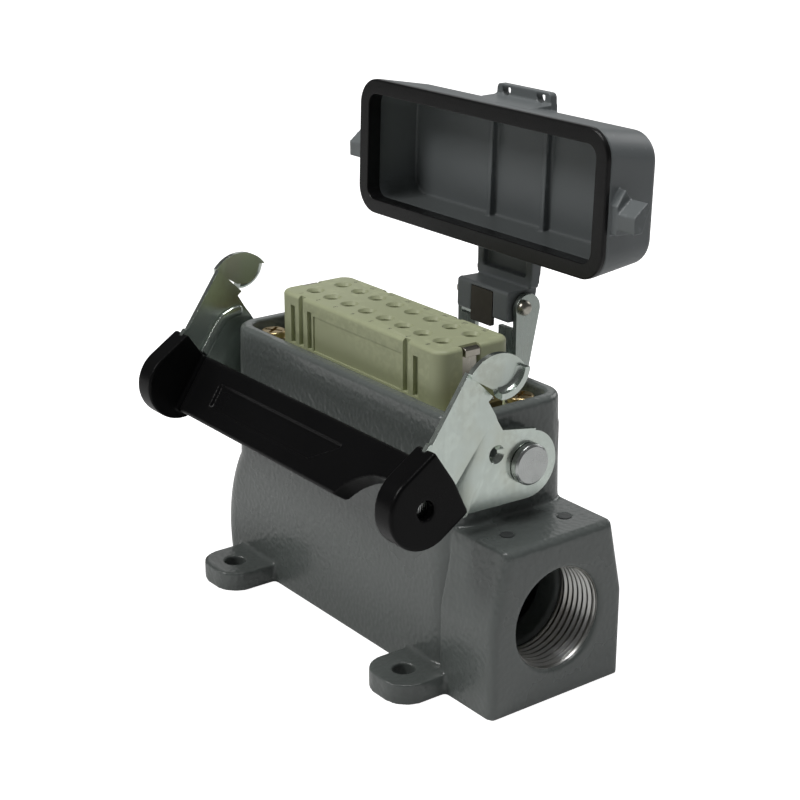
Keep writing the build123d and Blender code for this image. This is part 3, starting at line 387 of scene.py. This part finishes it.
def merged_mesh(node, name, join_flat):
    """A copy of a CAD node's mesh with its triangles merged, and its flat faces joined if asked"""
    mesh = frame["nodes"][node].data.copy()
    mesh.name = name
    work = bmesh.new()
    work.from_mesh(mesh)
    bmesh.ops.remove_doubles(work, verts=work.verts, dist=MERGE_DISTANCE)
    if join_flat:
        bmesh.ops.dissolve_limit(
            work, angle_limit=FLAT_ANGLE, verts=work.verts, edges=work.edges, use_dissolve_boundaries=False
        )
    work.to_mesh(mesh)
    work.free()
    return mesh


def merged_copy(node, width):
    """A finished stand-in for a CAD node: its triangles merged, flat faces joined and sharp edges rounded"""
    piece = stand_in(node, merged_mesh(node, f"{node}_finished", join_flat=True))
    piece.data.set_sharp_from_angle(angle=SHARP_ANGLE)
    bevel = piece.modifiers.new("edge_round", "BEVEL")
    bevel.width = width
    bevel.segments = 3
    bevel.limit_method = "ANGLE"
    bevel.angle_limit = SHARP_ANGLE
    bevel.use_clamp_overlap = True
    bevel.miter_outer = "MITER_ARC"
    bevel.harden_normals = True
    return piece


def evaluated_mesh(holder):
    """A new mesh of an object as its modifiers leave it"""
    return bpy.data.meshes.new_from_object(holder.evaluated_get(bpy.context.evaluated_depsgraph_get()))


def soft_copy(node, voxel, passes, triangles):
    """A finished stand-in for a CAD node whose edges are softened all round, as a cast or moulded skin
    is: the shape is meshed evenly, each point is drawn towards its neighbours' middle, and the mesh is
    thinned to a number of triangles"""
    maker = linked_object(f"{node}_start", merged_mesh(node, f"{node}_start", join_flat=False))
    even = maker.modifiers.new("even", "REMESH")
    even.mode = "VOXEL"
    even.voxel_size = voxel
    soften = maker.modifiers.new("soften", "SMOOTH")
    soften.factor = 0.5
    soften.iterations = passes
    skin = evaluated_mesh(maker)
    thin = maker.modifiers.new("thin", "DECIMATE")
    thin.ratio = min(1.0, triangles / (2 * len(skin.polygons)))
    mesh = evaluated_mesh(maker)
    bpy.data.objects.remove(maker)
    bpy.data.meshes.remove(skin)
    piece = stand_in(node, mesh)
    normals = piece.modifiers.new("even_normals", "WEIGHTED_NORMAL")
    normals.mode = "FACE_AREA"
    normals.weight = 70
    return piece


# Node helpers and the shared effects


def place_node(tree, kind, inputs=(), **settings):
    """Add a node, set its properties, then link or set its inputs from (socket, value) pairs"""
    node = tree.nodes.new(kind)
    for name, value in settings.items():
        setattr(node, name, value)
    for socket, value in inputs:
        if isinstance(value, bpy.types.NodeSocket):
            tree.links.new(value, node.inputs[socket])
        else:
            node.inputs[socket].default_value = value
    return node


def maths(tree, operation, *values):
    """Result of a Math node on numbers or sockets"""
    return place_node(tree, "ShaderNodeMath", enumerate(values), operation=operation).outputs[0]


def remap(tree, value, **ends):
    """Result of a Map Range node, whose ends are given as From_Min, From_Max, To_Min and To_Max"""
    inputs = [("Value", value)] + [(name.replace("_", " "), end) for name, end in ends.items()]
    return place_node(tree, "ShaderNodeMapRange", inputs).outputs[0]


def object_place(tree):
    """The Object coordinates of the shaded point"""
    return place_node(tree, "ShaderNodeTexCoord").outputs["Object"]


def noise(tree, place, scale, layers):
    """Noise at a place, with a scale and a number of finer layers"""
    inputs = (("Vector", place), ("Scale", scale), ("Detail", layers))
    return place_node(tree, "ShaderNodeTexNoise", inputs).outputs["Fac"]


def effect_group(name, inputs, output):
    """An empty node group with inputs and one output, all of them numbers, and its two end nodes"""
    group = bpy.data.node_groups.new(name, "ShaderNodeTree")
    for label, default in inputs:
        socket = group.interface.new_socket(name=label, in_out="INPUT", socket_type="NodeSocketFloat")
        socket.default_value = default
    group.interface.new_socket(name=output, in_out="OUTPUT", socket_type="NodeSocketFloat")
    start = group.nodes.new("NodeGroupInput")
    end = group.nodes.new("NodeGroupOutput")
    return group, start.outputs, end.inputs[output]


def mottle_group():
    """Cloudy variation of a surface: noise spread round one half"""
    group, given, result = effect_group("mottle", (("Scale", 60.0), ("Contrast", 1.0)), "Value")
    cloud = noise(group, object_place(group), given["Scale"], 5.0)
    centred = maths(group, "SUBTRACT", cloud, 0.5)
    spread = maths(group, "MULTIPLY_ADD", centred, given["Contrast"], 0.5)
    spread.node.use_clamp = True
    group.links.new(spread, result)


def edge_group():
    """Mask of the outer edges from the mesh's pointiness, broken up by noise; it lightens edges as wear and
    as a painted edge highlight
    """
    group, given, result = effect_group("edge_wear", (("Width", 0.06), ("Scale", 700.0)), "Mask")
    shape = place_node(group, "ShaderNodeNewGeometry")
    speckle = noise(group, object_place(group), given["Scale"], 3.0)
    top = maths(group, "ADD", given["Width"], EDGE_START)
    edge = remap(group, shape.outputs["Pointiness"], From_Min=EDGE_START, From_Max=top)
    broken = remap(group, speckle, From_Min=0.42, From_Max=0.62)
    group.links.new(maths(group, "MULTIPLY", edge, broken), result)


def dust_group():
    """Mask of the faces that look up, thinned by noise"""
    group, given, result = effect_group("dust", (("Amount", 0.3), ("Scale", 160.0)), "Mask")
    shape = place_node(group, "ShaderNodeNewGeometry")
    split = place_node(group, "ShaderNodeSeparateXYZ", ((0, shape.outputs["Normal"]),))
    cloud = noise(group, object_place(group), given["Scale"], 6.0)
    up = remap(group, split.outputs["Z"], From_Min=0.5, From_Max=1.0)
    thin = maths(group, "MULTIPLY", up, cloud)
    group.links.new(maths(group, "MULTIPLY", thin, given["Amount"]), result)


def grain_group():
    """Height of a rippled powder coat: soft lumps with finer noise laid over them"""
    group, given, result = effect_group("coat_grain", (("Scale", 1100.0), ("Fine", 0.12)), "Height")
    place = object_place(group)
    lumps = noise(group, place, given["Scale"], 0.0)
    finer = maths(group, "MULTIPLY", given["Scale"], 2.7)
    fine = noise(group, place, finer, 2.0)
    group.links.new(maths(group, "MULTIPLY_ADD", fine, given["Fine"], lumps), result)


def streak_group():
    """Fine rolled or brushed lines: noise stretched along one axis of the object"""
    group, given, result = effect_group("streaks", (("Scale", 900.0), ("Stretch", 0.03)), "Value")
    split = place_node(group, "ShaderNodeSeparateXYZ", ((0, object_place(group)),))
    drawn = maths(group, "MULTIPLY", split.outputs["Z"], given["Stretch"])
    inputs = (("X", split.outputs["X"]), ("Y", split.outputs["Y"]), ("Z", drawn))
    joined = place_node(group, "ShaderNodeCombineXYZ", inputs)
    group.links.new(noise(group, joined.outputs[0], given["Scale"], 4.0), result)


def effect(tree, name, **values):
    """Place a shared effect in a material with its own values, and give its output socket"""
    node = tree.nodes.new("ShaderNodeGroup")
    node.node_tree = bpy.data.node_groups[name]
    for label, value in values.items():
        node.inputs[label].default_value = value
    return node.outputs[0]


def mix_colour(tree, factor, first, second):
    """Colour between two colours or colour sockets"""
    node = place_node(tree, "ShaderNodeMix", data_type="RGBA")
    for socket, value in ((node.inputs["Factor"], factor), (node.inputs[6], first), (node.inputs[7], second)):
        if isinstance(value, bpy.types.NodeSocket):
            tree.links.new(value, socket)
        else:
            socket.default_value = value
    return node.outputs[2]


def tint(colour, factor):
    """A colour made lighter or darker by a factor, with full alpha"""
    return tuple(min(1.0, channel * factor) for channel in colour) + (1.0,)


def start_material(name, **shader_values):
    """A Principled material with constant values set on the shader itself"""
    material = bpy.data.materials.new(f"{name}_finish")
    material.use_nodes = True
    shader = material.node_tree.nodes["Principled BSDF"]
    for socket, value in shader_values.items():
        shader.inputs[socket.replace("_", " ")].default_value = value
    return material, material.node_tree, shader


def finish(name):
    """The material of a finish; its name differs from the slot's, which the frame's own materials have"""
    return bpy.data.materials[f"{name}_finish"]


def finish_surface(tree, shader, colour, roughness, height, strength, distance):
    """Feed a colour, a roughness range driven by a mask, and a bump height to the shader"""
    mask, low, high = roughness
    tree.links.new(colour, shader.inputs["Base Color"])
    tree.links.new(remap(tree, mask, To_Min=low, To_Max=high), shader.inputs["Roughness"])
    inputs = (("Height", height), ("Strength", strength), ("Distance", distance))
    tree.links.new(place_node(tree, "ShaderNodeBump", inputs).outputs[0], shader.inputs["Normal"])


def coated_material(name, colour, grain, roughness, bump, contrast, edge, dust, gloss=0.5, coat=(0.0, 0.03)):
    """Coated or moulded surface: cloudy colour, lighter edges that are partly wear and partly a painted
    highlight, faint dust and a grained skin, with a clear coat's weight and roughness"""
    values = {"Specular_IOR_Level": gloss, "Coat_Weight": coat[0], "Coat_Roughness": coat[1]}
    _, tree, shader = start_material(name, **values)
    cloud = effect(tree, "mottle", Scale=45.0, Contrast=1.6)
    base = mix_colour(tree, cloud, tint(colour, 1 - contrast), tint(colour, 1 + contrast))
    # Edges lightened by pointiness: wear and a painted edge highlight
    wear_and_highlight = maths(tree, "MULTIPLY", effect(tree, "edge_wear"), edge)
    worn_and_lit = mix_colour(tree, wear_and_highlight, base, tint(colour, WORN_AND_LIT_TINT))
    dusty = mix_colour(tree, effect(tree, "dust", Amount=dust), worn_and_lit, DUST_COLOUR)
    height = effect(tree, "coat_grain", Scale=1 / grain)
    finish_surface(tree, shader, dusty, (cloud, *roughness), height, bump, GRAIN_HEIGHT * grain)


def plated_material(name, colour, roughness, streak=0.05, tarnish=(0.75, 0.62, 0.42), patches=0.18):
    """Plated metal: faint cloudy tarnish, fine lines in the roughness and the bump"""
    _, tree, shader = start_material(name, Metallic=1.0)
    cloud = effect(tree, "mottle", Scale=110.0, Contrast=2.4)
    spots = remap(tree, cloud, From_Min=0.45, From_Max=0.85, To_Max=patches)
    stained = tuple(channel * stain for channel, stain in zip(colour, tarnish)) + (1.0,)
    plated = mix_colour(tree, spots, colour + (1.0,), stained)
    lines = effect(tree, "streaks", Scale=1400.0, Stretch=streak)
    # Edges lightened by pointiness: worn plating and a painted edge highlight
    worn_and_lit = maths(tree, "MULTIPLY", effect(tree, "edge_wear", Width=0.05), 0.4)
    bright = mix_colour(tree, worn_and_lit, plated, tint(colour, PLATED_EDGE_LIT_TINT))
    finish_surface(tree, shader, bright, (lines, *roughness), lines, 0.07, STREAK_HEIGHT)


def turned_material(name, colour, centre, roughness):
    """Turned metal: rings round an axis along X, as a sine of the distance from it"""
    _, tree, shader = start_material(name, Metallic=1.0)
    shift = (("Vector", object_place(tree)), ("Location", (0.0, -centre[0], -centre[1])))
    moved = place_node(tree, "ShaderNodeMapping", shift).outputs[0]
    to_plane = ((0, moved), (1, (0.0, 1.0, 1.0)))
    flat = place_node(tree, "ShaderNodeVectorMath", to_plane, operation="MULTIPLY").outputs[0]
    reach = place_node(tree, "ShaderNodeVectorMath", ((0, flat),), operation="LENGTH").outputs["Value"]
    rings = maths(tree, "SINE", maths(tree, "MULTIPLY", reach, 2 * pi / RING_PITCH))
    cloud = effect(tree, "mottle", Scale=300.0, Contrast=1.5)
    base = mix_colour(tree, cloud, tint(colour, 0.8), tint(colour, 1.15))
    finish_surface(tree, shader, base, (cloud, *roughness), rings, 0.25, RING_HEIGHT)


def ink_material(name):
    """Printed ink: a dark colour that varies in fine clouds, which also drive roughness and bump"""
    _, tree, shader = start_material(name)
    cloud = effect(tree, "mottle", Scale=900.0, Contrast=2.0)
    colour = mix_colour(tree, cloud, INK_DARK, INK_PALE)
    finish_surface(tree, shader, colour, (cloud, 0.4, 0.6), cloud, 0.1, INK_HEIGHT)


# Operators


class OBJECT_OT_connector_finishes(bpy.types.Operator):
    """Build the shared effects and one material for each finish"""

    bl_idname = "object.connector_finishes"
    bl_label = "Finishes"

    def execute(self, context):
        colours = context.scene.connector_finishes
        for make in (mottle_group, edge_group, dust_group, grain_group, streak_group):
            make()
        grain = colours.grain
        low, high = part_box("pivot_stud_right")
        stud_centre = (0.0, (low.z + high.z) / 2)
        zinc = tuple(colours.zinc)
        shaded_bracket = tuple(BRACKET_PAINTED_SHADE * channel for channel in zinc)

        coated_material(
            "casting",
            tuple(colours.casting),
            grain=grain,
            roughness=(0.22, 0.34),
            bump=0.8,
            contrast=0.05,
            edge=0.10,
            dust=0.03,
            coat=(0.35, 0.12),
        )
        coated_material(
            "insert_plastic",
            tuple(colours.insert),
            grain=0.35 * MM,
            roughness=(0.40, 0.52),
            bump=0.10,
            contrast=0.03,
            edge=0.15,
            dust=0.05,
        )
        coated_material(
            "handle_plastic",
            tuple(colours.handle),
            grain=0.25 * MM,
            roughness=(0.24, 0.34),
            bump=0.3,
            contrast=0.10,
            edge=0.35,
            dust=0.004,
            gloss=0.12,
        )
        coated_material(
            "cover_plastic",
            tuple(colours.cover),
            grain=0.22 * MM,
            roughness=(0.36, 0.46),
            bump=0.10,
            contrast=0.04,
            edge=0.2,
            dust=0.06,
        )
        coated_material(
            "gasket_rubber",
            tuple(colours.rubber),
            grain=0.4 * MM,
            roughness=(0.28, 0.42),
            bump=0.2,
            contrast=0.15,
            edge=0.2,
            dust=0.005,
            gloss=0.35,
        )
        coated_material(
            # Painted shade inside the entry block's two dimples
            "mark",
            tuple(colours.mark),
            grain=grain,
            roughness=(0.35, 0.50),
            bump=0.4,
            contrast=0.06,
            edge=0.2,
            dust=0.02,
        )
        coated_material(
            "dark_steel",
            tuple(colours.spring),
            grain=0.3 * MM,
            roughness=(0.30, 0.42),
            bump=0.1,
            contrast=0.15,
            edge=0.1,
            dust=0.01,
            gloss=0.6,
        )

        plated_material("zinc_sheet", zinc, roughness=(0.18, 0.30), patches=0.20)
        # The bracket's zinc, darkened as painted shade
        plated_material("bracket_zinc", shaded_bracket, roughness=(0.22, 0.34), patches=0.12)
        plated_material("screw_metal", tuple(colours.nickel), roughness=(0.22, 0.36), streak=0.3)
        plated_material(
            "brass_screws",
            tuple(colours.brass),
            roughness=(0.22, 0.38),
            streak=0.3,
            tarnish=(0.7, 0.6, 0.45),
            patches=0.5,
        )
        plated_material(
            "contact_metal",
            tuple(colours.silver),
            roughness=(0.25, 0.40),
            streak=0.3,
            tarnish=(0.6, 0.5, 0.35),
            patches=0.5,
        )
        plated_material("thread_metal", tuple(colours.thread), roughness=(0.26, 0.42), streak=0.6)
        turned_material("stud_steel", tuple(colours.steel), stud_centre, roughness=(0.22, 0.34))
        ink_material("number_ink")
        return {"FINISHED"}


class OBJECT_OT_connector_bodies(bpy.types.Operator):
    """Give every CAD node its finish, and the larger ones rounded edges"""

    bl_idname = "object.connector_bodies"
    bl_label = "Housing, insert, lever and cover"

    def execute(self, context):
        edge = context.scene.connector_details.edge_round
        for node, share in ROUNDED.items():
            merged_copy(node, share * edge)
        for node, (voxel, passes, triangles) in SOFTENED.items():
            soft_copy(node, voxel, passes, triangles)
        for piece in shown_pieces():
            slot = piece.get("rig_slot") or SLOT_OF.get(piece.name)
            piece.data.materials.clear()
            piece.data.materials.append(finish(OWN_FINISH.get(piece.name, slot)))
        return {"FINISHED"}


class OBJECT_OT_connector_thread(bpy.types.Operator):
    """Cut-thread sleeve in the cable entry"""

    bl_idname = "object.connector_thread"
    bl_label = "Cable entry thread"

    def execute(self, context):
        """Inner radius is the bore less a rounded ridge that winds once round per pitch and fades at both
        ends; the outer radius lies just inside the wall, and the grid closes from inside to outside."""
        sizes = context.scene.connector_details
        pitch, length = sizes.thread_pitch, sizes.thread_length
        mount = next(m for m in RECORD["mounts"] if m["name"] == "cable_entry")
        centre = Vector(mount["pos_m"])
        bore = mount["dims"]["r_mm"] * MM
        face_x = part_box("housing")[1].x
        depth = np.linspace(0.0, length, THREAD_ALONG)[:, None]
        angle = np.linspace(0.0, 2 * pi, THREAD_AROUND, endpoint=False)[None, :]
        phase = (depth / pitch - angle / (2 * pi)) % 1.0
        ridge = np.clip(THREAD_FLANK * (1 - np.abs(2 * phase - 1)) - THREAD_VALLEY, 0.0, 1.0)
        fade = np.clip(depth / pitch, 0, 1) * np.clip((length - depth) / pitch, 0, 1)
        inner = bore - THREAD_ROOT - sizes.thread_height * ridge * fade
        outer = np.full_like(inner, bore + THREAD_SEAT)
        start = face_x - (sizes.edge_round + THREAD_SETBACK)
        radius = np.concatenate([inner, outer[::-1]])
        place = start - np.concatenate([depth, depth[::-1]]) + 0 * radius
        turn = np.broadcast_to(angle, radius.shape)
        across = centre.y + radius * np.cos(turn)
        up = centre.z + radius * np.sin(turn)
        points = np.stack([place, across, up], axis=-1).reshape(-1, 3)
        faces = loop_grid_faces(2 * THREAD_ALONG, THREAD_AROUND, close_rows=True)
        piece = mesh_object("entry_thread", points, faces, "base", "casting", finish("thread_metal"))
        turn_outward(piece)
        return {"FINISHED"}


class OBJECT_OT_connector_contacts(bpy.types.Operator):
    """Slotted spring mouths inside the sixteen contact holes"""

    bl_idname = "object.connector_contacts"
    bl_label = "Contact springs"

    def execute(self, context):
        """Each mouth is a short tube whose wall profile is carried round the hole; the top edge dips in a
        narrow slot at equal turns, and the tube narrows towards its mouth."""
        slots = context.scene.connector_details.spring_slots
        low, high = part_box("contact_sleeves")
        columns = np.arange(CONTACT_COLUMNS) * CONTACT_PITCH + (low.x + SLEEVE_RADIUS)
        rows = (low.y + SLEEVE_RADIUS, high.y - SLEEVE_RADIUS)
        if abs(columns[-1] + SLEEVE_RADIUS - high.x) > 0.1 * MM:
            raise RuntimeError("the contact sleeves don't stand at the contacts' pitch")
        angle = np.linspace(0, 2 * pi, SPRING_AROUND, endpoint=False)
        slot = np.clip(1.0 - np.abs(np.sin(slots * angle / 2)) / SPRING_SLOT_WIDTH, 0, 1)
        rings = []
        for reach, rise, dips in SPRING_WALL:
            height = high.z + rise * MM - SPRING_SLOT_DEPTH * dips * slot
            ring = (reach * MM * np.cos(angle), reach * MM * np.sin(angle), height)
            rings.append(np.stack(ring, axis=-1))
        single = np.concatenate(rings)
        faces = loop_grid_faces(len(SPRING_WALL), SPRING_AROUND, close_rows=True)
        points = []
        quads = []
        for y in rows:
            for x in columns:
                quads.append(faces + len(points) * len(single))
                points.append(single + np.array([x, y, 0.0]))
        piece = mesh_object(
            "contact_springs",
            np.concatenate(points),
            np.concatenate(quads),
            "base",
            "contact_metal",
            finish("contact_metal"),
        )
        turn_outward(piece)
        return {"FINISHED"}


class OBJECT_OT_connector_marks(bpy.types.Operator):
    """Contact numbers on the insert and the painted shade of the two round dimples on the entry block"""

    bl_idname = "object.connector_marks"
    bl_label = "Numbers and marks"

    def execute(self, context):
        """Each number stands outward of its hole and reads from the hinge side, so x and y are turned half
        round; each dimple's painted shade is a low dark disc whose points lie on three circles, the top one a
        little smaller."""
        height = context.scene.connector_details.number_height
        insert_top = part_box("insert_body")[1].z
        points = []
        faces = []
        count = 0
        for row, y in enumerate((-NUMBER_Y, NUMBER_Y)):
            for column in range(CONTACT_COLUMNS):
                letters = bpy.data.curves.new("number", "FONT")
                letters.body = str(row * CONTACT_COLUMNS + column + 1)
                letters.size = height
                letters.align_x = "CENTER"
                letters.align_y = "CENTER"
                letters.extrude = NUMBER_RAISE
                letters.resolution_u = 3
                holder = linked_object("number", letters)
                flat = evaluated_mesh(holder)
                place = np.array([(column - (CONTACT_COLUMNS - 1) / 2) * CONTACT_PITCH, y, insert_top])
                points.append(mesh_points(flat) * (-1, -1, 1) + place)
                faces += [[count + corner for corner in polygon.vertices] for polygon in flat.polygons]
                count += len(flat.vertices)
                bpy.data.objects.remove(holder)
        numbers = np.concatenate(points)
        ink = finish("number_ink")
        mesh_object("contact_numbers", numbers, faces, "base", "insert_plastic", ink, smooth=False)

        # Painted shade of the two dimples: dark discs laid on the block's top
        turn = np.linspace(0, 2 * pi, MARK_AROUND, endpoint=False)
        context.view_layer.update()
        skin = bpy.data.objects["housing_finished"]
        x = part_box("housing")[1].x - MARK_SETBACK
        for side, name in ((-1, "entry_mark_front"), (1, "entry_mark_back")):
            y = side * MARK_Y
            above = Vector((x, y + MARK_PROBE_Y, MARK_PROBE_Z))
            found, hit, _, _ = skin.ray_cast(above, Vector((0, 0, -1)))
            if not found:
                raise RuntimeError("the entry block has no top under the mark")
            rings = []
            for reach, rise in MARK_RINGS:
                ring = (x + reach * np.cos(turn), y + reach * np.sin(turn), hit.z + rise + 0 * turn)
                rings.append(np.stack(ring, axis=-1))
            disc = capped_faces(len(MARK_RINGS), MARK_AROUND)
            points = np.concatenate(rings)
            mark = mesh_object(name, points, disc, "base", "casting", finish("mark"), smooth=False)
            turn_outward(mark)
        return {"FINISHED"}


class OBJECT_OT_connector_beads(bpy.types.Operator):
    """Pressed folds inside the lever's plates and the outer rim of the cover's tab"""

    bl_idname = "object.connector_beads"
    bl_label = "Folds and tab rim"

    def execute(self, context):
        """The fold runs on a smoothed line between given points on the plate's inner face; the rim is a
        straight bead along the tab's tip, whose place is read from the topmost points of the cover."""
        given = np.array(FOLD_PATH) * MM
        step = np.linspace(0, len(given) - 1, FOLD_POINTS)
        line = np.stack([np.interp(step, np.arange(len(given)), given[:, axis]) for axis in (0, 1)], axis=-1)
        for _ in range(FOLD_PASSES):
            line[1:-1] = 0.25 * line[:-2] + 0.5 * line[1:-1] + 0.25 * line[2:]
        for side, name in ((-1, "lever_plate_left"), (1, "lever_plate_right")):
            low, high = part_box(name)
            inner = side * (min(abs(low.x), abs(high.x)) + FOLD_INSET)
            path = np.column_stack([np.full(len(line), inner), line])
            bead(f"{name}_fold", path, (1, 0, 0), FOLD_REACH, FOLD_RISE, "lever", "zinc_sheet")

        points = mesh_points(frame["nodes"]["cover_shell"].data)
        tip = points[:, 2].max()
        edge = points[(points[:, 2] > tip - TAB_TIP_BAND) & (np.abs(points[:, 0]) < TAB_HALF)]
        if len(edge) < 4:
            raise RuntimeError("the cover's tab has no straight tip")
        reach = np.abs(edge[:, 0]).max() - RIM_INSET
        middle = (edge[:, 1].min() + edge[:, 1].max()) / 2
        along = np.linspace(-reach, reach, RIM_POINTS)
        path = np.column_stack([along, np.full(RIM_POINTS, middle), np.full(RIM_POINTS, tip - RIM_DROP)])
        bead("cover_tab_rim", path, (0, 0, 1), RIM_REACH, RIM_RISE, "cover", "cover_plastic")
        return {"FINISHED"}


class OBJECT_OT_connector_studio(bpy.types.Operator):
    """Camera at the photograph's viewing angle, pale floor and soft light"""

    bl_idname = "object.connector_studio"
    bl_label = "Studio"

    def execute(self, context):
        """The floor and the surround are near white where the camera sees them, and light the part only
        faintly; the area lights all point at its lower middle."""
        studio = context.scene.connector_studio
        azimuth, elevation = studio.azimuth, studio.elevation
        back = Vector((sin(azimuth) * cos(elevation), -cos(azimuth) * cos(elevation), sin(elevation)))
        right = Vector((cos(azimuth), sin(azimuth), 0.0))
        up = back.cross(right)
        turn = Matrix((right, up, back)).transposed().to_4x4()
        camera_data = bpy.data.cameras.new("camera")
        camera_data.sensor_width = SENSOR_WIDTH
        camera_data.lens = studio.lens
        camera_data.clip_start = CAMERA_NEAR
        camera = linked_object("camera", camera_data)
        camera.matrix_world = Matrix.Translation(Vector(studio.place)) @ turn
        context.scene.camera = camera

        floor_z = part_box("housing")[0].z
        corners = [(x, y, floor_z) for x, y in ((-1, -1), (1, -1), (1, 1), (-1, 1))]
        mesh = bpy.data.meshes.new("floor")
        mesh.from_pydata((np.array(corners) * (FLOOR_REACH, FLOOR_REACH, 1)).tolist(), [], [(0, 1, 2, 3)])
        floor = linked_object("floor", mesh)
        material, tree, shader = start_material("floor", Roughness=0.6, Specular_IOR_Level=0.1)
        cloud = effect(tree, "mottle", Scale=3.0, Contrast=0.4)
        pale = mix_colour(tree, cloud, tint(studio.floor, 0.98), tint(studio.floor, 1.02))
        tree.links.new(pale, shader.inputs["Base Color"])
        seen = place_node(tree, "ShaderNodeLightPath").outputs["Is Camera Ray"]
        tree.links.new(seen, shader.inputs["Emission Strength"])
        shader.inputs["Emission Color"].default_value = (FLOOR_GLOW, FLOOR_GLOW, FLOOR_GLOW, 1.0)
        mesh.materials.append(material)
        floor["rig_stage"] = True

        context.scene.view_settings.view_transform = "Standard"
        world = context.scene.world or bpy.data.worlds.new("surround")
        context.scene.world = world
        world.use_nodes = True
        tree = world.node_tree
        background = tree.nodes["Background"]
        background.inputs["Color"].default_value = (1.0, 1.0, 1.0, 1.0)
        seen = place_node(tree, "ShaderNodeLightPath").outputs["Is Camera Ray"]
        level = maths(tree, "MULTIPLY_ADD", seen, SURROUND_GLOW, studio.world_level)
        tree.links.new(level, background.inputs["Strength"])

        for name, place, size, power, tone in LIGHTS:
            light_data = bpy.data.lights.new(name, "AREA")
            light_data.shape = "SQUARE"
            light_data.size = size
            light_data.energy = power * studio.key_power
            light_data.color = tone
            light = linked_object(name, light_data)
            aim = (LIGHT_AIM - Vector(place)).to_track_quat("-Z", "Y").to_matrix().to_4x4()
            light.matrix_world = Matrix.Translation(Vector(place)) @ aim
        return {"FINISHED"}


STEPS = (
    OBJECT_OT_connector_finishes,
    OBJECT_OT_connector_bodies,
    OBJECT_OT_connector_thread,
    OBJECT_OT_connector_contacts,
    OBJECT_OT_connector_marks,
    OBJECT_OT_connector_beads,
    OBJECT_OT_connector_studio,
)


class VIEW3D_PT_connector(bpy.types.Panel):
    """The connector's steps and values"""

    bl_idname = "VIEW3D_PT_connector"
    bl_label = "Connector"
    bl_space_type = "VIEW_3D"
    bl_region_type = "UI"
    bl_category = "Connector"

    def draw(self, context):
        scene = context.scene
        for step in STEPS:
            self.layout.operator(step.bl_idname)
        for group in (scene.connector_finishes, scene.connector_details, scene.connector_studio):
            for name in group.__annotations__:
                self.layout.prop(group, name)


CLASSES = (ConnectorFinishes, ConnectorDetails, ConnectorStudio, *STEPS, VIEW3D_PT_connector)


def register():
    """Register the classes and give the scene their values"""
    for cls in CLASSES:
        bpy.utils.register_class(cls)
    bpy.types.Scene.connector_finishes = PointerProperty(type=ConnectorFinishes)
    bpy.types.Scene.connector_details = PointerProperty(type=ConnectorDetails)
    bpy.types.Scene.connector_studio = PointerProperty(type=ConnectorStudio)


def unregister():
    """Take the values from the scene and unregister the classes"""
    del bpy.types.Scene.connector_studio
    del bpy.types.Scene.connector_details
    del bpy.types.Scene.connector_finishes
    for cls in reversed(CLASSES):
        bpy.utils.unregister_class(cls)


def main():
    """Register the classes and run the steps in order"""
    register()
    bpy.ops.object.connector_finishes()
    bpy.ops.object.connector_bodies()
    bpy.ops.object.connector_thread()
    bpy.ops.object.connector_contacts()
    bpy.ops.object.connector_marks()
    bpy.ops.object.connector_beads()
    bpy.ops.object.connector_studio()


if __name__ == "__main__":
    main()
